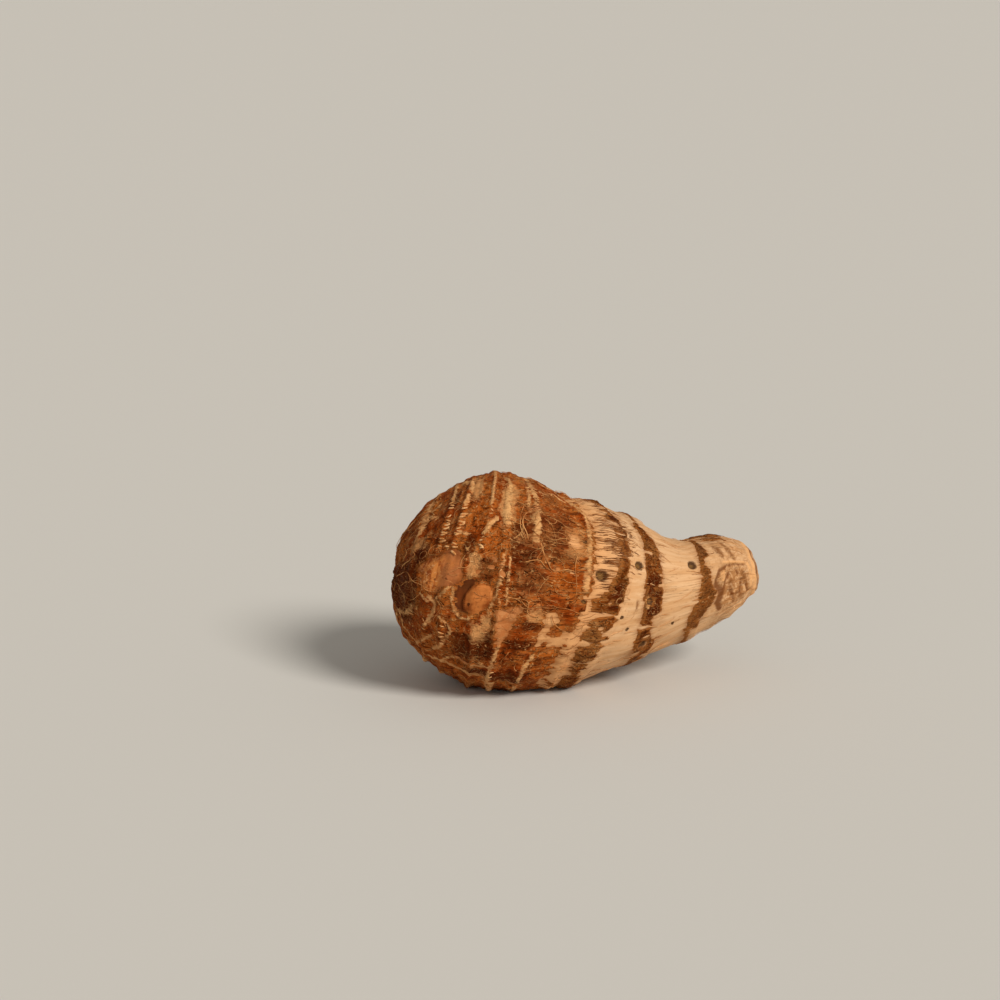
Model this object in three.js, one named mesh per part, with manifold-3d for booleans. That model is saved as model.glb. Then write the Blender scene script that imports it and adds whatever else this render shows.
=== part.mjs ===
// A taro corm lying on its side, as dug and dried: one solid, in millimetres, +Z up.
//
// The fat crown points along -X and the narrow neck along +X. The front is -Y. The skin is one
// surface over two parameters: the ring place, from the crown's tip to the end of the neck, and
// the angle round the corm, 0 degrees on top and 90 degrees at the front. Leaf-scar rings and
// bands of old skin follow the ring place. Eye buds, root scars and root stubs are cut into that
// solid or joined to it.

import * as THREE from "three";
import Module from "manifold-3d";

// ---- Driving dimensions ----------------------------------------------------------------------

const LENGTH = 111; // along the spine
const CROWN_REACH = 30.5; // from the crown's tip to where the girth table starts
const CROWN_BLUNTNESS = 1.9; // 2 is an ellipse, less is rounder at the tip
const NECK_CAP = 3.5; // the rounded end of the neck
const SPINE_START = new THREE.Vector3(-53.7, 7.1, 33.3); // the crown's tip

// Tables of [place along the spine, value], joined by a smooth curve.
const GIRTH = [[30.5, 30.9], [38, 30.4], [48, 27.8], [60, 25], [74, 19.9], [88, 14.5], [100, 12.2], [107.5, 8.8]];
const HEADING = [[0, -16], [30, -10], [60, 4], [85, 9], [111, 10]]; // degrees, towards the back
const PITCH = [[0, -5], [30, -5.3], [60, -6.4], [85, 4.4], [111, 9.2]]; // degrees, upwards

// A ring isn't square to the spine: it reaches towards the neck round one side.
const RING_REACH = [
  [0, 0], [3, 0.3], [9, 3.2], [16, 4], [25, 2.4], [31, 1.2], [37, 2], [46, 5.2],
  [54, 8.6], [66, 3], [72, 2.6], [82, 6.6], [92, 4], [101, 1], [111, 0],
];
const RING_LEAN = [[0, 5], [30, 15], [46, 55], [60, 50], [70, 38], [82, 45], [111, 45]]; // degrees
const RING_SPREAD = 52; // degrees

// Low swellings and hollows: place, angle, reach along, reach round (degrees), height.
const SWELLINGS = [
  { at: 53, angle: 180, along: 9, round: 50, height: 1.8 }, // the belly that it rests on
  { at: 86, angle: 5, along: 6, round: 45, height: -1.3 }, // the saddle behind the collar
  { at: 104, angle: 0, along: 8, round: 45, height: 0.3 }, // the collar
  { at: 107, angle: 150, along: 5, round: 50, height: -1.4 },
  { at: 89, angle: 170, along: 6, round: 45, height: 1.4 },
  { at: 5, angle: 180, along: 9, round: 70, height: 0.6 },
  { at: 27, angle: 5, along: 8, round: 50, height: 1.1 },
  { at: 49, angle: 10, along: 7, round: 45, height: -1.4 }, // the dent on the shoulder
  { at: 17, angle: 66, along: 7, round: 24, height: 0.9 }, // the bare cheek beside the eye bud
];
const BARE_CHEEK = { at: 17, angle: 66, along: 6, round: 20, ringsLost: 0.85 };

// Leaf-scar rings: ring place, height and half width.
const RINGS = [
  { at: 6, height: 0.4, width: 1 },
  { at: 12, height: 0.55, width: 1 },
  { at: 16.6, height: 0.7, width: 1 },
  { at: 24.5, height: 0.7, width: 1 },
  { at: 30.2, height: 0.8, width: 1.3 },
  { at: 36.6, height: 0.65, width: 1.1 },
  { at: 46.2, height: 0.75, width: 1.2 },
  { at: 93, height: 0.3, width: 1.2 },
  { at: 98, height: 0.25, width: 1 },
  { at: 103, height: 0.25, width: 1 },
];

// Bands of old skin, which stand a little proud: first and last ring place, and height.
const BANDS = [
  { from: 50, to: 54.6, height: 0.5 },
  { from: 66, to: 71.6, height: 0.5 },
  { from: 82.6, to: 86.2, height: 0.4 },
];
const BAND_EDGE = 0.9;

// Eye buds, each a dome in a socket: place, angle, half length, half width and height.
const EYE_BUDS = [
  { at: 24.6, angle: 85, along: 4.4, round: 4.9, height: 1.4 },
  { at: 34, angle: 222, along: 3.8, round: 4.2, height: 1.1 },
  { at: 58, angle: 292, along: 3, round: 3.6, height: 0.9 },
];
const SOCKET_MARGIN = 1; // groove between a dome and its socket's edge
const SOCKET_DEPTH = 1.1;

// Root scars on the front, and a rule that spreads more of them along the bands round the back.
const FRONT_ROOT_SCARS = [
  { at: 54.4, angle: 67, radius: 1.5 },
  { at: 65.6, angle: 58, radius: 1.2 },
  { at: 86.2, angle: 53, radius: 1.3 },
  { at: 68.6, angle: 84, radius: 1.1 },
  { at: 68.1, angle: 120, radius: 1.2 },
];
const BACK_SCAR_RINGS = [30, 52, 68, 84];
const BACK_SCARS_PER_RING = 3;
const BACK_SCAR_FIRST_ANGLE = 232;
const BACK_SCAR_ARC = 118; // degrees, kept clear of the resting spot and the front
const BACK_SCAR_RADIUS = 1.2;
const GOLDEN_FRACTION = 0.618;
const ROOT_SCAR_DEPTH = 0.8;

// Stubs of roots on the collar.
const ROOT_STUBS = [
  { at: 105.8, angle: 2, radius: 0.9, height: 1 },
  { at: 107.6, angle: 14, radius: 0.8, height: 0.8 },
  { at: 91, angle: 248, radius: 0.9, height: 0.9 },
];

// The grid of the skin.
const COLUMNS = 60;
const TIP_ROW_RADII = [1.3, 2.8, 4.4, 6, 7.5, 9.2, 11.5, 14.5];
const CAP_ROWS = [0.35, 0.62, 0.82, 0.94]; // shares of the neck's cap
const WIDEST_ROW_GAP = 3.6;

// ---- Small helpers ---------------------------------------------------------------------------

const radians = THREE.MathUtils.degToRad;
const bell = (distance, width) => Math.exp(-((distance / width) ** 2));
const wave = (degrees) => Math.cos(radians(degrees));

/** The shortest turn from one angle to another, in degrees. */
function turn(angle, from) {
  return THREE.MathUtils.euclideanModulo(angle - from + 180, 360) - 180;
}

/** A smooth curve through a table of [place, value], flat slopes weighted by the gaps. */
function curveThrough(table) {
  const gaps = table.slice(1).map(([place], i) => place - table[i][0]);
  const rises = table.slice(1).map(([, value], i) => (value - table[i][1]) / gaps[i]);
  const slopes = table.map((_, i) => {
    if (i === 0) return rises[0];
    if (i === table.length - 1) return rises[i - 1];
    return (rises[i - 1] * gaps[i] + rises[i] * gaps[i - 1]) / (gaps[i - 1] + gaps[i]);
  });
  return (x) => {
    const place = THREE.MathUtils.clamp(x, table[0][0], table[table.length - 1][0]);
    let k = 0;
    while (k < gaps.length - 1 && place > table[k + 1][0]) k += 1;
    const t = (place - table[k][0]) / gaps[k];
    const from = (1 + 2 * t) * (1 - t) ** 2 * table[k][1] + t * (1 - t) ** 2 * gaps[k] * slopes[k];
    const to = t * t * (3 - 2 * t) * table[k + 1][1] + t * t * (t - 1) * gaps[k] * slopes[k + 1];
    return from + to;
  };
}

// ---- Spine and girth -------------------------------------------------------------------------

const girthCurve = curveThrough(GIRTH);
const headingCurve = curveThrough(HEADING);
const pitchCurve = curveThrough(PITCH);
const reachCurve = curveThrough(RING_REACH);
const leanCurve = curveThrough(RING_LEAN);

/** Radius of the plain corm at a place along the spine: blunt crown, table, rounded neck end. */
function girth(place) {
  if (place < CROWN_REACH) {
    const back = 1 - place / CROWN_REACH;
    return GIRTH[0][1] * (1 - back ** 2) ** (1 / CROWN_BLUNTNESS);
  }
  const intoCap = (place - (LENGTH - NECK_CAP)) / NECK_CAP;
  if (intoCap > 0) return girthCurve(LENGTH) * Math.sqrt(Math.max(0, 1 - intoCap ** 2));
  return girthCurve(place);
}

/** The place near the crown's tip where the plain corm has a given radius. */
function placeOfTipRadius(radius) {
  return CROWN_REACH * (1 - Math.sqrt(1 - (radius / GIRTH[0][1]) ** CROWN_BLUNTNESS));
}

function girthSlope(place) {
  const step = 0.02;
  const low = Math.max(0, place - step);
  const high = Math.min(LENGTH, place + step);
  return (girth(high) - girth(low)) / (high - low);
}

function spineDirection(place) {
  const heading = radians(headingCurve(place));
  const pitch = radians(pitchCurve(place));
  return new THREE.Vector3(
    Math.cos(pitch) * Math.cos(heading),
    Math.cos(pitch) * Math.sin(heading),
    Math.sin(pitch),
  );
}

/** Points of the spine at every quarter millimetre, from its direction. */
function traceSpine(step) {
  const points = [SPINE_START.clone()];
  for (let place = 0; place < LENGTH; place += step) {
    const direction = spineDirection(place + step / 2);
    points.push(points[points.length - 1].clone().addScaledVector(direction, step));
  }
  return points;
}

const SPINE_STEP = 0.25;
const spinePoints = traceSpine(SPINE_STEP);

function spinePoint(place) {
  const k = Math.min(Math.floor(place / SPINE_STEP), spinePoints.length - 2);
  return spinePoints[k].clone().lerp(spinePoints[k + 1], place / SPINE_STEP - k);
}

// ---- The skin --------------------------------------------------------------------------------

/** Where a ring crosses an angle, as a place along the spine. */
function alongSpine(ringPlace, angle) {
  return ringPlace + reachCurve(ringPlace) * bell(turn(angle, leanCurve(ringPlace)), RING_SPREAD);
}

function swellingHeight(place, angle) {
  return SWELLINGS.reduce(
    (sum, s) => sum + s.height * bell(place - s.at, s.along) * bell(turn(angle, s.angle), s.round),
    0,
  );
}

/** Slow lumps of three, five and two waves round the corm, which drift along it. */
function lumpHeight(place, angle) {
  const drift = THREE.MathUtils.radToDeg(place);
  return 0.3 * wave(3 * angle + drift / 9) + 0.2 * wave(5 * angle - drift / 6) + 0.15 * wave(2 * angle + drift / 4);
}

/** How much of the rings is left on the bare cheek. */
function ringsLeft(place, angle) {
  const cheek = bell(place - BARE_CHEEK.at, BARE_CHEEK.along) * bell(turn(angle, BARE_CHEEK.angle), BARE_CHEEK.round);
  return 1 - BARE_CHEEK.ringsLost * cheek;
}

function ringHeight(ringPlace, angle) {
  return RINGS.reduce((sum, ring, i) => {
    const uneven = 1 + 0.3 * wave(2 * angle + 130 * i) + 0.2 * wave(7 * angle + 100 * i);
    return sum + ring.height * uneven * bell(ringPlace - ring.at, ring.width);
  }, 0);
}

function bandHeight(ringPlace) {
  const step = THREE.MathUtils.smoothstep;
  return BANDS.reduce((sum, band) => {
    const rise = step(ringPlace, band.from - BAND_EDGE, band.from);
    const fall = step(ringPlace, band.to, band.to + BAND_EDGE);
    return sum + band.height * rise * (1 - fall);
  }, 0);
}

/** The growing point at the crown's tip: two rings round a shallow dish with a small bud in it. */
function tipHeight(radius) {
  const dish = -1 * (1 - THREE.MathUtils.smoothstep(radius, 3.5, 6.5));
  return dish + 1.4 * bell(radius, 1.8) + 0.5 * bell(radius - 7.5, 1.3) + 0.3 * bell(radius - 11.5, 1.2);
}

/** The scar where the neck broke off: a shallow dish in its end. */
function neckEndHeight(radius) {
  return -0.7 * (1 - THREE.MathUtils.smoothstep(radius, 2.5, 6.5));
}

function reliefHeight(ringPlace, place, angle, radius) {
  const awayFromTips = THREE.MathUtils.smoothstep(radius, 3, 14);
  const rings = ringsLeft(place, angle) * ringHeight(ringPlace, angle);
  let height = awayFromTips * (swellingHeight(place, angle) + lumpHeight(place, angle) + rings + bandHeight(ringPlace));
  if (place < CROWN_REACH) height += tipHeight(radius);
  if (place > LENGTH - NECK_CAP) height += neckEndHeight(radius);
  return height;
}

/** A point of the skin, and the directions there: out of it, along it and round it. */
function skinFrame(ringPlace, angle) {
  const place = alongSpine(ringPlace, angle);
  const radius = girth(place);
  const slope = girthSlope(place);
  const along = spineDirection(place);
  const side = new THREE.Vector3().crossVectors(along, new THREE.Vector3(0, 0, 1)).normalize();
  const up = new THREE.Vector3().crossVectors(side, along);
  const outward = up.multiplyScalar(wave(angle)).addScaledVector(side, Math.sin(radians(angle)));
  const normal = outward.clone().addScaledVector(along, -slope).normalize();
  const point = spinePoint(place).addScaledVector(outward, radius);
  point.addScaledVector(normal, reliefHeight(ringPlace, place, angle, radius));
  point.z = Math.max(point.z, 0);
  return { point, normal, round: new THREE.Vector3().crossVectors(normal, along).normalize() };
}

/** Ring places of the grid's rows: close at the tips, rings and bands, and no wide gap between. */
function rowPlaces() {
  const tip = TIP_ROW_RADII.map(placeOfTipRadius);
  const rings = RINGS.flatMap((ring) => [ring.at - ring.width, ring.at, ring.at + ring.width]);
  const bands = BANDS.flatMap((band) => [band.from - BAND_EDGE, band.from, band.to, band.to + BAND_EDGE]);
  const cap = CAP_ROWS.map((share) => LENGTH - NECK_CAP * (1 - share));
  const fixed = [...tip, ...rings, ...bands, LENGTH - NECK_CAP, ...cap].sort((a, b) => a - b);
  return fixed.flatMap((place, i) => {
    if (i === fixed.length - 1) return [place];
    const gap = fixed[i + 1] - place;
    const parts = Math.ceil(gap / WIDEST_ROW_GAP);
    return Array.from({ length: parts }, (_, k) => place + (gap * k) / parts);
  });
}

/** The closed skin: a grid of rows and columns with one point at each tip. */
function skinMesh() {
  const rows = rowPlaces();
  const points = [skinFrame(0, 0).point];
  for (const ringPlace of rows) {
    for (let column = 0; column < COLUMNS; column += 1) {
      points.push(skinFrame(ringPlace, (360 * column) / COLUMNS).point);
    }
  }
  points.push(skinFrame(LENGTH, 0).point);
  const last = points.length - 1;
  const at = (row, column) => 1 + row * COLUMNS + (column % COLUMNS);
  const triangles = [];
  for (let column = 0; column < COLUMNS; column += 1) {
    triangles.push([0, at(0, column + 1), at(0, column)]);
    for (let row = 0; row < rows.length - 1; row += 1) {
      triangles.push([at(row, column), at(row + 1, column + 1), at(row + 1, column)]);
      triangles.push([at(row, column), at(row, column + 1), at(row + 1, column + 1)]);
    }
    triangles.push([at(rows.length - 1, column), at(rows.length - 1, column + 1), last]);
  }
  return { points, triangles };
}

// ---- Booleans --------------------------------------------------------------------------------

const wasm = await Module();
wasm.setup();

function toSolid({ points, triangles }) {
  return new wasm.Manifold(new wasm.Mesh({
    numProp: 3,
    vertProperties: new Float32Array(points.flatMap((point) => point.toArray())),
    triVerts: new Uint32Array(triangles.flat()),
  }));
}

/** A rounded lens on the skin: half sizes along it, round it and through it, and its lift. */
function lens({ at, angle, along, round, through, lift, roundness }) {
  const frame = skinFrame(at, angle);
  const forward = new THREE.Vector3().crossVectors(frame.round, frame.normal);
  const sphere = new THREE.IcosahedronGeometry(1, roundness);
  const turned = new THREE.Matrix4().makeBasis(
    forward.multiplyScalar(along),
    frame.round.clone().multiplyScalar(round),
    frame.normal.clone().multiplyScalar(through),
  );
  turned.setPosition(frame.point.clone().addScaledVector(frame.normal, lift));
  sphere.applyMatrix4(turned);
  return toSolid(weld(sphere));
}

/** Points and triangles of a geometry of loose triangles, with its equal corners made one. */
function weld(geometry) {
  const corners = geometry.getAttribute("position");
  const places = new Map();
  const points = [];
  const index = [];
  for (let i = 0; i < corners.count; i += 1) {
    const point = new THREE.Vector3().fromBufferAttribute(corners, i);
    const key = point.toArray().map((value) => value.toFixed(4)).join(" ");
    if (!places.has(key)) {
      places.set(key, points.length);
      points.push(point);
    }
    index.push(places.get(key));
  }
  const triangles = [];
  for (let i = 0; i < index.length; i += 3) triangles.push(index.slice(i, i + 3));
  return { points, triangles };
}

function toGeometry(solid) {
  const { vertProperties, triVerts } = solid.getMesh();
  const geometry = new THREE.BufferGeometry();
  geometry.setAttribute("position", new THREE.BufferAttribute(vertProperties, 3));
  geometry.setIndex(new THREE.BufferAttribute(triVerts, 1));
  geometry.computeVertexNormals();
  return geometry;
}

/** The ring place whose ring crosses an angle at a given place along the spine. */
function ringPlaceOf(place, angle) {
  let ringPlace = place;
  for (let i = 0; i < 30; i += 1) ringPlace -= 0.6 * (alongSpine(ringPlace, angle) - place);
  return ringPlace;
}

function backRootScars() {
  return BACK_SCAR_RINGS.flatMap((ring, i) => Array.from({ length: BACK_SCARS_PER_RING }, (_, k) => {
    const share = ((i + 1) * GOLDEN_FRACTION + k / BACK_SCARS_PER_RING) % 1;
    return { at: ring, angle: BACK_SCAR_FIRST_ANGLE + BACK_SCAR_ARC * share, radius: BACK_SCAR_RADIUS };
  }));
}

function carve(solid) {
  let carved = solid;
  for (const bud of EYE_BUDS) {
    const at = ringPlaceOf(bud.at, bud.angle);
    const socket = lens({
      at, angle: bud.angle, along: bud.along + SOCKET_MARGIN, round: bud.round + SOCKET_MARGIN,
      through: SOCKET_DEPTH + 0.4, lift: 0.4, roundness: 2,
    });
    const dome = lens({
      at, angle: bud.angle, along: bud.along, round: bud.round,
      through: bud.height + 0.7, lift: -0.7, roundness: 2,
    });
    carved = carved.subtract(socket).add(dome);
  }
  for (const scar of [...FRONT_ROOT_SCARS, ...backRootScars()]) {
    const pit = lens({
      at: ringPlaceOf(scar.at, scar.angle), angle: scar.angle, along: scar.radius, round: scar.radius,
      through: ROOT_SCAR_DEPTH + 0.3, lift: 0.3, roundness: 1,
    });
    carved = carved.subtract(pit);
  }
  for (const stub of ROOT_STUBS) {
    const knob = lens({
      at: ringPlaceOf(stub.at, stub.angle), angle: stub.angle, along: stub.radius, round: stub.radius,
      through: stub.height, lift: 0, roundness: 1,
    });
    carved = carved.add(knob);
  }
  return carved;
}

// ---- The part --------------------------------------------------------------------------------

const skinMaterial = new THREE.MeshStandardMaterial({ color: 0xb5814f, roughness: 0.85, metalness: 0 });
const corm = new THREE.Mesh(toGeometry(carve(toSolid(skinMesh()))), skinMaterial);
corm.name = "corm";

const taro = new THREE.Group();
taro.add(corm);

export default taro;
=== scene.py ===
# %% [markdown]
# # A taro corm, lying on its side
#
# A taro corm is a swollen underground stem. Leaves once grew all over it, and each left a ring
# round it when it fell. Between the rings hang rests of brown skin, and under them the corm is
# bare and tan. The packed model gives the solid. Here its skin is built again on a fine grid
# from the same formulas, and the things that are too thin for the solid are laid on it.

# %% Load the frame
import math

import bpy
import numpy as np
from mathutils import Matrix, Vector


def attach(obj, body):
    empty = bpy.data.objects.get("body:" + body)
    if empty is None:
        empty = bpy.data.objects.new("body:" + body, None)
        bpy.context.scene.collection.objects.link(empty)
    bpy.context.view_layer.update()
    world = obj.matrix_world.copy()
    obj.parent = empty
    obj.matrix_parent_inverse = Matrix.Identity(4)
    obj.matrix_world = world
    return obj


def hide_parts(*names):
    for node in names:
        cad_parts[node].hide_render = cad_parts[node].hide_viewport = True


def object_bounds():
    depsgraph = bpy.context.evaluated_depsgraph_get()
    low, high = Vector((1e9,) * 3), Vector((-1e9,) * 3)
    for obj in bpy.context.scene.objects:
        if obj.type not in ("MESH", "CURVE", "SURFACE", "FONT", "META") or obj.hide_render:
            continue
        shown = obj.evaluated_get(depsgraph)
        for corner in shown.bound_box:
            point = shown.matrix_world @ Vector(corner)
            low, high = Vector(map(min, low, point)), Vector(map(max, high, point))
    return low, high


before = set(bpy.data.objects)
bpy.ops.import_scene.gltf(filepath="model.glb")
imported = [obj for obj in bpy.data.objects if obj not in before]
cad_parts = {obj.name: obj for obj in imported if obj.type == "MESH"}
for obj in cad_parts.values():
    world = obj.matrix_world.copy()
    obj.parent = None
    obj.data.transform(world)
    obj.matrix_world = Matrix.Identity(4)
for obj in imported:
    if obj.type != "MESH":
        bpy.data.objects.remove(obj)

MM = 0.001
CORM = "corm"
cad_box = [list(corner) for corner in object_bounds()]
print("CAD box in mm:", [[round(value / MM, 1) for value in corner] for corner in cad_box])

# %% [markdown]
# ## Camera
#
# A long lens from about 0.7 m keeps a corm of 11 cm free of strong perspective, as in most
# pictures of vegetables. The camera turns round a point to the left of the corm and above it,
# which puts the corm in the lower right of the middle of the frame.

# %% Place the camera
CAMERA_LENS = 85
CAMERA_DISTANCE = 690
CAMERA_ELEVATION = 13
CAMERA_AZIMUTH = -10
CAMERA_TARGET = (-23.6, 0, 55.3)


def direction_from(azimuth, elevation):
    """Unit vector from the target towards a viewer: azimuth 0 is the front, -Y."""
    turn, rise = math.radians(azimuth), math.radians(elevation)
    return np.array([math.sin(turn) * math.cos(rise), -math.cos(turn) * math.cos(rise), math.sin(rise)])


def aim(thing, target, azimuth, elevation, distance):
    """Puts a camera or lamp at a distance from the target, in mm, and turns it to look at it."""
    back = direction_from(azimuth, elevation)
    thing.location = (np.array(target) + back * distance) * MM
    thing.rotation_mode = "QUATERNION"
    thing.rotation_quaternion = Vector(-back).to_track_quat("-Z", "Y")
    bpy.context.scene.collection.objects.link(thing)
    return thing


camera = bpy.data.objects.new("camera", bpy.data.cameras.new("camera"))
camera.data.lens = CAMERA_LENS
aim(camera, CAMERA_TARGET, CAMERA_AZIMUTH, CAMERA_ELEVATION, CAMERA_DISTANCE)
bpy.context.scene.camera = camera
print("camera at", [round(value, 3) for value in camera.location], "m")

# %% [markdown]
# ## The corm's driving dimensions
#
# The solid is worked out from a spine, a girth along it and a few tables, and the fine skin has
# to agree with it. So the same numbers stand here, in millimetres and degrees. A place is a
# distance along the spine from the crown's tip. An angle goes round the corm, from 0 on top
# over 90 at the front.

# %% Spine and girth
LENGTH = 111
CROWN_REACH = 30.5  # the blunt crown ends at this place, where the girth table starts
CROWN_BLUNTNESS = 1.9
NECK_CAP = 3.5
SPINE_START = (-53.7, 7.1, 33.3)
# Place, then the radius, and how far the spine turns to the back and upwards, in degrees
GIRTH = [(30.5, 30.9), (38, 30.4), (48, 27.8), (60, 25), (74, 19.9), (88, 14.5), (100, 12.2), (107.5, 8.8)]
HEADING = [(0, -16), (30, -10), (60, 4), (85, 9), (111, 10)]
PITCH = [(0, -5), (30, -5.3), (60, -6.4), (85, 4.4), (111, 9.2)]


def curve_through(table):
    """A smooth curve through (place, value) pairs: cubic Hermite pieces, whose slope at each
    place is the mean of its two neighbouring rises, weighted by the gap on the other side."""
    places, values = (np.array(column, float) for column in zip(*table))
    gaps, rises = np.diff(places), np.diff(values) / np.diff(places)
    middle = (rises[:-1] * gaps[1:] + rises[1:] * gaps[:-1]) / (gaps[:-1] + gaps[1:])
    slopes = np.concatenate([rises[:1], middle, rises[-1:]])

    def curve(x):
        x = np.clip(x, places[0], places[-1])
        k = np.clip(np.searchsorted(places, x) - 1, 0, len(gaps) - 1)
        t = (x - places[k]) / gaps[k]
        start = (1 + 2 * t) * (1 - t) ** 2 * values[k] + t * (1 - t) ** 2 * gaps[k] * slopes[k]
        end = t * t * (3 - 2 * t) * values[k + 1] + t * t * (t - 1) * gaps[k] * slopes[k + 1]
        return start + end

    return curve


girth_curve, heading_curve, pitch_curve = (curve_through(t) for t in (GIRTH, HEADING, PITCH))


def girth(place):
    """Radius of the plain corm: a blunt crown, the girth table, and a rounded neck end."""
    from_ring = np.clip(1 - place / CROWN_REACH, 0, 1)
    crown = GIRTH[0][1] * (1 - from_ring**2) ** (1 / CROWN_BLUNTNESS)
    into_cap = np.clip((place - (LENGTH - NECK_CAP)) / NECK_CAP, 0, 1)
    cap = girth_curve(float(LENGTH)) * np.sqrt(1 - into_cap**2)
    return np.where(place < CROWN_REACH, crown, np.where(into_cap > 0, cap, girth_curve(place)))


def girth_slope(place):
    """Rise of the girth for each millimetre along the spine, from two close places."""
    low, high = np.maximum(place - 0.02, 0), np.minimum(place + 0.02, LENGTH)
    return (girth(high) - girth(low)) / (high - low)


def spine_direction(place):
    """Unit vector along the spine, from its heading and its pitch."""
    heading, pitch = np.radians(heading_curve(place)), np.radians(pitch_curve(place))
    flat = np.cos(pitch)
    return np.stack([flat * np.cos(heading), flat * np.sin(heading), np.sin(pitch)], -1)


SPINE_STEP = 0.25
spine_places = np.arange(0, LENGTH + SPINE_STEP, SPINE_STEP)
spine_steps = spine_direction(spine_places[:-1] + SPINE_STEP / 2) * SPINE_STEP
spine_points = np.array(SPINE_START) + np.concatenate([np.zeros((1, 3)), np.cumsum(spine_steps, 0)])


def spine_point(place):
    """Point of the spine, between the two traced ones."""
    return np.stack([np.interp(place, spine_places, spine_points[:, axis]) for axis in range(3)], -1)


print("spine ends at", spine_point(np.array(float(LENGTH))).round(1), "mm")

# %% [markdown]
# ## Rings, bands and swellings
#
# A ring isn't square to the spine: it reaches towards the neck round one side of the corm. If
# each ring has a ring place, everything that follows the rings, in shape or in colour, can be
# drawn with straight lines of one ring place, and bends with them.

# %% Ring places and relief
RING_REACH = [  # ring place, how far the ring reaches towards the neck
    (0, 0), (3, 0.3), (9, 3.2), (16, 4), (25, 2.4), (31, 1.2), (37, 2), (46, 5.2),
    (54, 8.6), (66, 3), (72, 2.6), (82, 6.6), (92, 4), (101, 1), (111, 0),
]
# Ring place, angle where it reaches farthest
RING_LEAN = [(0, 5), (30, 15), (46, 55), (60, 50), (70, 38), (82, 45), (111, 45)]
RING_SPREAD = 52  # how far round that angle it does so
SWELLINGS = [  # place, angle, reach along, reach round, height
    (53, 180, 9, 50, 1.8),
    (86, 5, 6, 45, -1.3),
    (104, 0, 8, 45, 0.3),
    (107, 150, 5, 50, -1.4),
    (89, 170, 6, 45, 1.4),
    (5, 180, 9, 70, 0.6),
    (27, 5, 8, 50, 1.1),
    (49, 10, 7, 45, -1.4),
    (17, 66, 7, 24, 0.9),
]
RINGS = [  # ring place, height, half width
    (6, 0.4, 1), (12, 0.55, 1), (16.6, 0.7, 1), (24.5, 0.7, 1), (30.2, 0.8, 1.3),
    (36.6, 0.65, 1.1), (46.2, 0.75, 1.2), (93, 0.3, 1.2), (98, 0.25, 1), (103, 0.25, 1),
]
BANDS = [(50, 54.6, 0.5), (66, 71.6, 0.5), (82.6, 86.2, 0.4)]  # from, to, height
BAND_EDGE = 0.9
LUMPS = [(0.3, 3, 9), (0.2, 5, -6), (0.15, 2, 4)]  # height, waves in a turn, mm along a radian
TIP_RINGS = [(0, 1.8, 1.4), (7.5, 1.3, 0.5), (11.5, 1.2, 0.3)]  # mm off the spine, width, height
TIP_HOLLOW, END_HOLLOW = 1, 0.7  # depths of the hollows in the crown's tip and the neck's end
CHEEK = (17, 66, 6, 20)  # the bare cheek: place, angle, reach along, reach round
print("rings:", len(RINGS), "bands:", len(BANDS), "swellings:", len(SWELLINGS))

# %% [markdown]
# The relief is a sum of bells and ramps over ring place and angle. It fades towards both tips,
# which have small rings and a hollow of their own.

# %% Heights of rings, bands and swellings
reach_curve, lean_curve = curve_through(RING_REACH), curve_through(RING_LEAN)


def bell(distance, width):
    """A smooth bump of height 1 that falls away over the width."""
    return np.exp(-((distance / width) ** 2))


def ramp(x, low, high):
    """0 below low, 1 above high, and a smooth step between."""
    t = np.clip((x - low) / (high - low), 0, 1)
    return t * t * (3 - 2 * t)


def turn(angle, start):
    """Shortest turn from one angle to another, in degrees."""
    return (angle - start + 180) % 360 - 180


def along_spine(ring, angle):
    """Place where a ring crosses an angle: its ring place plus its reach on that side."""
    return ring + reach_curve(ring) * bell(turn(angle, lean_curve(ring)), RING_SPREAD)


def coarse_relief(ring, place, angle, radius):
    """What the solid has on its plain girth: swellings, lumps, rings, bands and the two tips."""
    round_ = np.radians(angle)
    height = sum(h * bell(place - at, a) * bell(turn(angle, t), r) for at, t, a, r, h in SWELLINGS)
    for tall, waves_round, drift in LUMPS:
        height = height + tall * np.cos(waves_round * round_ + place / drift)
    rings_left = 1 - 0.85 * bell(place - CHEEK[0], CHEEK[2]) * bell(turn(angle, CHEEK[1]), CHEEK[3])
    rings_left = rings_left * (1 - 0.4 * bell(turn(angle, 0), 30))
    for i, (at, tall, width) in enumerate(RINGS):
        uneven = 1 + 0.3 * np.cos(2 * round_ + np.radians(130 * i))
        uneven = uneven + 0.2 * np.cos(7 * round_ + np.radians(100 * i))
        height = height + rings_left * tall * uneven * bell(ring - at, width)
    for start, end, tall in BANDS:
        rise, fall = ramp(ring, start - BAND_EDGE, start), ramp(ring, end, end + BAND_EDGE)
        height = height + tall * rise * (1 - fall)
    tip = sum(tall * bell(radius - at, width) for at, width, tall in TIP_RINGS)
    tip = tip - TIP_HOLLOW * (1 - ramp(radius, 3.5, 6.5))
    end = -END_HOLLOW * (1 - ramp(radius, 2.5, 6.5))
    ends = np.where(place < CROWN_REACH, tip, np.where(place > LENGTH - NECK_CAP, end, 0))
    return height * ramp(radius, 3, 14) + ends


print("ring 46 crosses the front at", along_spine(46, 90).round(1), "mm")

# %% [markdown]
# ## Buds and root scars
#
# An eye bud sits in a groove of its own, and each root that was pulled off left a small round
# pit. The solid has them as lenses, cut out or joined on. On the fine grid the same lenses are
# heights over the skin, and each pit gets a lip and the stump of its root.

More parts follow.
